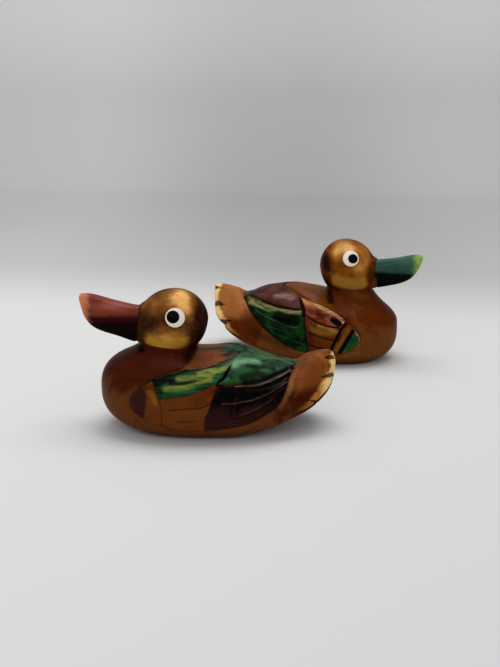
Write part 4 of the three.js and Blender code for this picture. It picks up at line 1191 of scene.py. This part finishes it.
def sanded_tail(r, paint, colour):
    """The tail's rim sanded bare in an uneven band, with painted shade below it and in the nicks.
    """
    rim = r.mark("rim")
    on_tail = r.step(r.along, -50, -62)
    reach = r.scaled(r.noise(r.own, 230, 3, 0.6), 6.0, 2.7)
    reach = r.times(reach, r.step(r.along, -52, -72, 0.35, 1.0))
    bare = r.times(r.step(rim, -0.4, 0.3), on_tail)
    bare = r.times(bare, r.step(r.less(reach, rim), -1.0, 1.4))
    sanded = r.mix(paint.golden_rim, paint.bare_rim, r.step(r.along, -66, -72))
    sanded = r.mix(sanded, paint.golden_rim, r.step(r.blotch, 0.5, 0.75, 0, 0.4))
    colour = r.mix(colour, sanded, r.times(bare, r.step(r.along, -55, -68, 0.5, 1.0)))
    # Painted shade under the rim.
    under = r.times(r.step(rim, 0.1, -0.8), on_tail)
    colour = r.browned(colour, 0.14, r.times(under, 0.85))
    # Painted shade inside the nicks.
    cut = r.times(r.step(r.mark("nick"), 0.4, -0.15), r.step(rim, 10, 7))
    return r.mix(r.browned(colour, 0.1, cut), paint.ink, r.times(cut, 0.6))


def inked(r, paint, colour):
    """Ink in the cuts, worn away in places: the bill's root, the wing's edge and the wing's lines;
    and the notch behind the shoulder, filled near black as painted shade in its deep cut."""
    worn = r.step(r.blotch, 0.36, 0.6, 0.4, 1.0)
    root, wing = (r.math("ABSOLUTE", r.mark(name)) for name in ("bill", "wing"))
    line = r.scaled(r.ragged, 0.4, r.mark("ink"))
    for share in (r.step(root, 0.6, 0.15, 0, 0.8),
                  r.times(r.step(wing, 0.45, 0.1, 0, 0.7), worn),
                  r.times(r.step(line, 0.55, 0.1, 0, 0.8), worn),
                  # Painted shade filling the deep notch behind the shoulder.
                  r.step(r.mark("notch"), -0.25, 0.3, 0, 0.96)):
        colour = r.mix(colour, paint.ink, share)
    return colour


def painted_wood(name, paint, turn, zones, fade, edge):
    """Stained wood under paint and lacquer. Each painted area is laid over the stain where its
    own signed distance, roughened by noise, is more than zero; then come the head, the bill, the
    brush strokes, the sanded rim, the ink in the cuts and the eyes."""
    r = WoodRecipe(name, turn)
    wood = stained(r, paint)
    colour = wood
    for zone in zones(r, paint, wood):
        colour = r.cover(colour, *zone)
    colour = golden_head(r, paint, colour)
    colour = painted_bill(r, paint, colour, fade, edge)
    colour = brushed(r, paint, colour)
    colour = sanded_tail(r, paint, colour)
    colour = inked(r, paint, colour)
    colour = r.browned(colour, 0.1, r.times(r.mark("foot"), 0.5))
    streaks = r.scaled(r.grain, 0.4, r.scaled(r.blotch, 0.9, 0.15))
    colour = r.toned(colour, r.scaled(r.cloud, 0.4, streaks))
    colour = r.mix(colour, paint.eye_white, r.step(r.mark("eye"), -0.12, 0.12))
    colour = r.mix(colour, paint.pupil, r.step(r.mark("pupil"), -0.12, 0.12))

    painted = r.step(r.mark("eye"), -0.1, 0.1)
    rough = r.less(r.scaled(r.blotch, 0.16, 0.3), r.times(painted, 0.12))
    height = r.add(r.step(r.mark("ink"), 0.55, 0.0, 0, -0.35), r.times(r.grain, 0.05))
    height = r.scaled(r.blotch, 0.08, height)
    return r.finish(colour, rough, height, bump=0.4, gloss=0.03)


def red_duck_areas(r, paint, wood):
    """The painted areas of the duck with the red bill, from the back to the primaries."""
    fine = r.noise(r.mapped(r.pattern, (0.03, 0.35, 1), turn=0.5), 2.0, 3, 0.5, 0.4)
    green = r.mix(paint.green_deep, paint.green, r.step(r.haze, 0.3, 0.6))
    cloudy = r.mix(green, paint.green_pale, r.step(r.haze, 0.55, 0.85, 0, 0.25))
    dusky = r.mix(paint.green_deep, paint.green, r.step(r.haze, 0.4, 0.75))
    streaky = r.mix(paint.green_deep, paint.green, r.step(fine, 0.35, 0.6))
    low = r.scaled(r.up, -0.013, 0.08)
    purple = r.mix(paint.purple_deep, paint.purple, r.step(r.add(r.haze, low), 0.4, 0.7))
    tan = r.mix(wood, paint.tan, r.step(r.blotch, 0.35, 0.7, 0.35, 0.8))
    ruddy = r.mix(wood, paint.mantle, r.step(r.cloud, 0.3, 0.6, 0.5, 0.9))
    return [
        (ruddy, "mantle"),
        (dusky, "back", 1.0, 0.8, 3.0),
        (purple, "primary"),
        (tan, "covert"),
        (tan, "bar_band"),
        (paint.purple, "patch", 0.92, 0.6, 2.0),
        (streaky, "scapular"),
        (cloudy, "tertial"),
    ]


def green_duck_areas(r, paint, wood):
    """The painted areas of the duck with the green bill."""
    green = r.mix(paint.green_deep, paint.green, r.step(r.haze, 0.35, 0.65))
    mottled = r.mix(paint.green, paint.green_pale, r.step(r.blotch, 0.4, 0.7, 0.1, 0.7))
    wine = r.mix(paint.purple_deep, paint.purple, r.step(r.haze, 0.3, 0.65))
    red = r.mix(paint.wine_red, paint.scapular_tan, r.step(r.blotch, 0.35, 0.65, 0, 0.4))
    orange = r.mix(wood, paint.mantle, r.step(r.cloud, 0.25, 0.55, 0.6, 1.0))
    tan = r.mix(wood, paint.tan, r.step(r.blotch, 0.3, 0.65, 0.45, 0.9))
    return [
        (orange, "mantle", 0.9, 2.5),
        (green, "primary"),
        (tan, "covert"),
        (tan, "bar_band"),
        (mottled, "patch", 1.0, 0.3),
        (red, "scapular"),
        (wine, "tertial"),
    ]


def tint(red, green, blue):
    """A colour read on the 0 to 255 scale of a picture, as scene-linear light."""
    c = np.array([red, green, blue]) / 255
    return tuple(float(v) for v in np.where(c <= 0.04045, c / 12.92, ((c + 0.055) / 1.055) ** 2.4))


def colour_property(name, about, *shade):
    return bpy.props.FloatVectorProperty(
        name=name, description=about, subtype="COLOR", size=3, min=0, max=1, default=tint(*shade))


PAINT_NAMES = dict(
    stain_light=("Light stain", "Orange-brown stain low on the body"),
    stain_deep=("Deep stain", "Red-brown stain high on the body"),
    stain_red=("Red stain", "Reddish blotches"),
    tail=("Tail", "Paler stain on the tail"),
    mantle=("Mantle", "Back between the wings"),
    tan=("Tan feathers", "Secondaries and crossbar"),
    green_deep=("Deep green", "Dark parts of the green paint"),
    green=("Green", "Green paint"),
    green_pale=("Pale green", "Rubbed parts of the green paint"),
    olive=("Olive", "Rubbed streaks on the green paint"),
    purple_deep=("Deep purple", "Dark parts of the purple"),
    purple=("Purple", "Purple paint"),
    wine_red=("Wine red", "Reddish rubbed paint"),
    scapular_tan=("Shoulder tan", "Rubbed shoulder feathers"),
    # Worn ridges: rubbed paint with painted highlight on the primaries' ridges, and on the green
    # bill a painted reflection.
    worn_ridge=("Worn ridges", "Rubbed ridges of the primaries with painted highlights, and a painted reflection on the bill"),
    # Pale edge: rubbed carved edges; on the duck with the red bill it also paints a highlight
    # along the ridge where the wings meet and a faint reflection on the breast.
    pale=("Pale edge", "Rubbed carved edges, with some painted highlight and reflection"),
    # This paint is a painted highlight, a pale haze of light on the long feathers and the back.
    sheen=("Sheen", "Painted highlight on the long feathers"),
    cheek=("Cheek", "Gold of the cheek"),
    bare_rim=("Bare rim", "Sanded rim of the tail"),
    golden_rim=("Golden rim", "Stained edge of the rim"),
    # Ink: dark lines in the cuts, and also the painted shade in the nicks and the notch.
    ink=("Ink", "Dark lines in the cuts"),
    # The golden head paint also carries the painted highlight on the crown.
    head_gold=("Golden head", "Pale parts of the head"),
    head_orange=("Orange head", "Middle tone of the head"),
    head_shade=("Head shade", "Dark parts of the head"),
    # The bill's tones below the tip: dark paint with painted shade on the lower facets, and
    # painted light on the upper side and the top.
    bill_top=("Bill top", "Top of the bill"),
    bill_upper=("Upper bill", "Upper side of the bill"),
    bill_middle=("Middle bill", "Side of the bill at its edge"),
    bill_under=("Lower bill", "Under half of the bill"),
    bill_tip=("Bill tip", "Tip of the bill"),
    eye_white=("Eye", "White of the eye"),
    pupil=("Pupil", "Pupil"),
)


def paint_properties(**shades):
    """A colour property for each named paint, with its shade from 0 to 255 as the default."""
    return {key: colour_property(*PAINT_NAMES[key], *shade) for key, shade in shades.items()}


class CarvingSizes(bpy.types.PropertyGroup):
    """How finely the ducks are carved."""

    body_sections: bpy.props.IntProperty(
        name="Body sections", description="Planes along the tail and back", default=165, min=20)
    neck_sections: bpy.props.IntProperty(
        name="Neck sections", description="Planes from the back up the neck", default=110, min=10)
    head_sections: bpy.props.IntProperty(
        name="Head sections", description="Planes through the head", default=56, min=10)
    bill_sections: bpy.props.IntProperty(
        name="Bill sections", description="Planes along the bill", default=36, min=8)
    around: bpy.props.IntProperty(
        name="Points around", description="Points around each section", default=268, min=24)
    carving: bpy.props.FloatProperty(
        name="Carving depth", description="Depth of the knife work as a share of the real one",
        default=1.0, min=0.0, max=2.0, subtype="FACTOR")


class RedBillPaint(bpy.types.PropertyGroup):
    """Colours of the duck with the red bill."""

    __annotations__ = paint_properties(
        stain_light=(99, 53, 20), stain_deep=(64, 20, 4), stain_red=(78, 26, 6),
        tail=(120, 62, 22), mantle=(114, 60, 22), tan=(104, 50, 8),
        green_deep=(5, 20, 8), green=(36, 82, 46), green_pale=(96, 150, 100),
        olive=(122, 132, 54), purple_deep=(6, 1, 2), purple=(48, 20, 18), wine_red=(84, 22, 6),
        worn_ridge=(128, 96, 76), pale=(142, 104, 68), sheen=(122, 168, 124),
        cheek=(186, 136, 46), bare_rim=(250, 206, 136), golden_rim=(176, 112, 46), ink=(9, 3, 2),
        head_gold=(236, 176, 98), head_orange=(130, 80, 28), head_shade=(46, 14, 4),
        bill_top=(172, 98, 82), bill_upper=(118, 49, 36), bill_middle=(46, 4, 6),
        bill_under=(13, 1, 1), bill_tip=(220, 132, 90), eye_white=(240, 228, 210),
        pupil=(2, 5, 8))


class GreenBillPaint(bpy.types.PropertyGroup):
    """Colours of the duck with the green bill."""

    __annotations__ = paint_properties(
        stain_light=(108, 60, 22), stain_deep=(88, 34, 1), stain_red=(74, 20, 2),
        tail=(158, 98, 46), mantle=(104, 54, 6), tan=(96, 40, 2),
        green_deep=(2, 18, 4), green=(16, 58, 20), green_pale=(52, 84, 50),
        olive=(124, 124, 68), purple_deep=(52, 24, 18), purple=(84, 48, 40),
        wine_red=(84, 24, 10), scapular_tan=(200, 116, 72),
        worn_ridge=(78, 100, 68), pale=(206, 146, 98), sheen=(150, 112, 100),
        cheek=(160, 114, 42), bare_rim=(250, 206, 134), golden_rim=(200, 144, 66), ink=(8, 3, 1),
        head_gold=(232, 178, 104), head_orange=(152, 92, 24), head_shade=(82, 30, 3),
        bill_top=(80, 116, 100), bill_upper=(44, 76, 66), bill_middle=(22, 46, 36),
        bill_under=(2, 4, 3), bill_tip=(142, 178, 78), eye_white=(240, 230, 214),
        pupil=(1, 8, 10))


class StageSizes(bpy.types.PropertyGroup):
    """The floor, the lights and the camera."""

    floor: colour_property("Floor", "Pale floor and wall", 216, 216, 214)
    wall_y: bpy.props.FloatProperty(
        name="Wall", description="Where the floor turns up", default=0.95, unit="LENGTH")
    bend: bpy.props.FloatProperty(
        name="Bend", description="Radius of the turn", default=0.14, unit="LENGTH")
    slant: bpy.props.FloatProperty(
        name="Slant", description="How far the wall comes nearer per metre to the right",
        default=0.13)
    camera_at: bpy.props.FloatVectorProperty(
        name="Camera", description="Place of the camera", size=3, subtype="XYZ", unit="LENGTH",
        default=(-0.0105, -0.6259, 0.2198))
    pitch: bpy.props.FloatProperty(
        name="Pitch", description="How far the camera looks down", default=np.radians(16.5),
        unit="ROTATION")
    lens: bpy.props.FloatProperty(
        name="Lens", description="Focal length on a 36 mm frame", default=53.63)
    ceiling_power: bpy.props.FloatProperty(
        name="Ceiling light", description="Power of the light above", default=5.7, unit="POWER")
    lamp_power: bpy.props.FloatProperty(
        name="Lamp", description="Power of the lamp behind the ducks, seen only in the gloss",
        default=2.8, unit="POWER")
    front_power: bpy.props.FloatProperty(
        name="Front light", description="Power of the light in front", default=2.9, unit="POWER")
    room: bpy.props.FloatProperty(
        name="Room light", description="Strength of the light from all round", default=0.46)


def carve_duck(duck, sizes, pattern, place, paint, areas):
    """One duck's skin and finish, which ride on the root and stand for its solid."""
    skin = make_skin(duck + "_duck_skin", sizes, pattern, place, bpy.context.scene.duck_carving)
    skin.data.materials.append(painted_wood(skin.name + "_finish", paint, place[2], areas,
                                            pattern["bill_fade"], pattern["bill_edge"]))
    return skin


class CarveRedBillDuck(bpy.types.Operator):
    """Carve and paint the duck with the red bill."""

    bl_idname = "ducks.carve_red_bill_duck"
    bl_label = "Carve the duck with the red bill"

    def execute(self, context):
        skin = carve_duck("red_bill", RED_FORM, RED_PATTERN, RED_PLACE,
                          context.scene.red_bill_paint, red_duck_areas)
        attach(skin, "root")
        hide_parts("duck_with_red_bill")
        return {"FINISHED"}


class CarveGreenBillDuck(bpy.types.Operator):
    """Carve and paint the duck with the green bill."""

    bl_idname = "ducks.carve_green_bill_duck"
    bl_label = "Carve the duck with the green bill"

    def execute(self, context):
        skin = carve_duck("green_bill", GREEN_FORM, GREEN_PATTERN, GREEN_PLACE,
                          context.scene.green_bill_paint, green_duck_areas)
        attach(skin, "root")
        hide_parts("duck_with_green_bill")
        return {"FINISHED"}


def backdrop_finish(stage):
    """Matt paper with painted light and shade: its tone falls towards the wall, rises up it, and
    is a little brighter at the left and darker down the middle, standing in for how the lights
    fall off."""
    r = Recipe("pale_backdrop_painted_light")
    where = r.place()
    x, y, z = r.split(where)
    back = r.scaled(x, stage.slant, y)
    # Painted light and shade: darker towards the wall, lighter up it, brighter at the left, darker
    # down the middle.
    tone = r.add(r.step(back, 0.15, 0.36, 1.0, 0.775), r.step(back, 0.5, 0.95, 0, 0.12))
    tone = r.add(tone, r.step(z, 0.0, 0.3, 0, 0.26))
    tone = r.times(tone, r.step(x, -0.3, 0.15, 1.1, 1.0))
    middle = r.step(r.math("ABSOLUTE", r.add(x, -0.03)), 0.3, 0.03)
    middle = r.times(middle, r.step(back, 0.1, 0.4))
    middle = r.times(middle, r.step(z, 0.0, 0.2, 0.19, 0.1))
    tone = r.times(tone, r.less(1.0, middle))
    return r.finish(r.toned(stage.floor, tone), 0.6, r.noise(where, 40, 2), bump=0.0, gloss=0.0)


def backdrop(stage):
    """One sheet: a level floor that turns up through a quarter circle into an upright wall.
    Across it is straight; along it the profile is floor, arc and wall in turn."""
    arc = np.linspace(0, np.pi / 2, 24)
    wall, bend = stage.wall_y, stage.bend
    y = np.concatenate([[FLOOR_FRONT], wall - bend + bend * np.sin(arc), [wall]])
    z = np.concatenate([[0], bend - bend * np.cos(arc), [WALL_TOP]])
    rows = len(y)
    x = np.repeat([-FLOOR_SIDE, FLOOR_SIDE], rows)
    points = np.stack([x, np.tile(y, 2), np.tile(z, 2)], 1)
    points[:, 1] -= stage.slant * x * (points[:, 1] > 0)
    i = np.arange(rows - 1)
    faces = np.stack([i, i + rows, i + rows + 1, i + 1], 1)
    mesh = bpy.data.meshes.new("backdrop")
    mesh.from_pydata(points.tolist(), [], faces.tolist())
    mesh.polygons.foreach_set("use_smooth", np.ones(len(faces), bool))
    mesh.materials.append(backdrop_finish(stage))
    sheet = bpy.data.objects.new("backdrop", mesh)
    bpy.context.scene.collection.objects.link(sheet)
    sheet.visible_shadow = False
    return sheet


def area_light(name, place, target, size, power):
    light = bpy.data.lights.new(name, "AREA")
    light.shape = "RECTANGLE"
    light.size, light.size_y = size
    light.energy = power
    lamp = bpy.data.objects.new(name, light)
    bpy.context.scene.collection.objects.link(lamp)
    lamp.location = place
    aim = np.array(target, float) - np.array(place, float)
    aim /= np.linalg.norm(aim)
    lamp.rotation_euler = (float(np.arccos(-aim[2])), 0, float(np.arctan2(-aim[0], aim[1])))
    return lamp


class SetDuckStage(bpy.types.Operator):
    """Lay the pale floor, hang the soft lights and place the camera."""

    bl_idname = "ducks.set_stage"
    bl_label = "Set the stage"

    def execute(self, context):
        scene = context.scene
        stage = scene.duck_stage
        backdrop(stage)
        area_light("ceiling_light", (0.05, 0.15, 0.95), (0, 0, 0), (0.8, 0.6), stage.ceiling_power)
        lamp = area_light("lamp", (0.12, 0.6, 0.85), (0, 0, 0.05), (0.24, 0.24), stage.lamp_power)
        lamp.visible_diffuse = False
        area_light("front_light", (-0.3, -1.1, 0.8), (0, 0, 0.03), (1.0, 0.7), stage.front_power)
        world = scene.world or bpy.data.worlds.new("room")
        scene.world = world
        world.use_nodes = True
        glow = world.node_tree.nodes["Background"]
        glow.inputs["Color"].default_value = (0.96, 0.97, 1.0, 1)
        glow.inputs["Strength"].default_value = stage.room
        camera = bpy.data.objects.new("camera", bpy.data.cameras.new("camera"))
        scene.collection.objects.link(camera)
        camera.location = stage.camera_at
        camera.rotation_euler = (np.pi / 2 - stage.pitch, 0, 0)
        camera.data.lens = stage.lens
        scene.camera = camera
        scene.view_settings.view_transform = "Standard"
        return {"FINISHED"}


class DuckPanel(bpy.types.Panel):
    """Sizes, colours and making of the ducks."""

    bl_idname = "VIEW3D_PT_carved_ducks"
    bl_label = "Carved Ducks"
    bl_space_type = "VIEW_3D"
    bl_region_type = "UI"
    bl_category = "Ducks"

    def draw(self, context):
        scene = context.scene
        for group in (scene.duck_carving, scene.red_bill_paint, scene.green_bill_paint,
                      scene.duck_stage):
            box = self.layout.box()
            for name in group.__annotations__:
                box.prop(group, name)
        for operator in (CarveRedBillDuck, CarveGreenBillDuck, SetDuckStage):
            self.layout.operator(operator.bl_idname)


CLASSES = (CarvingSizes, RedBillPaint, GreenBillPaint, StageSizes, CarveRedBillDuck,
           CarveGreenBillDuck, SetDuckStage, DuckPanel)
GROUPS = {"duck_carving": CarvingSizes, "red_bill_paint": RedBillPaint,
          "green_bill_paint": GreenBillPaint, "duck_stage": StageSizes}


def register():
    for cls in CLASSES:
        bpy.utils.register_class(cls)
    for name, group in GROUPS.items():
        setattr(bpy.types.Scene, name, bpy.props.PointerProperty(type=group))


def unregister():
    for name in GROUPS:
        delattr(bpy.types.Scene, name)
    for cls in reversed(CLASSES):
        bpy.utils.unregister_class(cls)


def main():
    register()
    bpy.ops.ducks.carve_red_bill_duck()
    bpy.ops.ducks.carve_green_bill_duck()
    bpy.ops.ducks.set_stage()


if __name__ == "__main__":
    main()
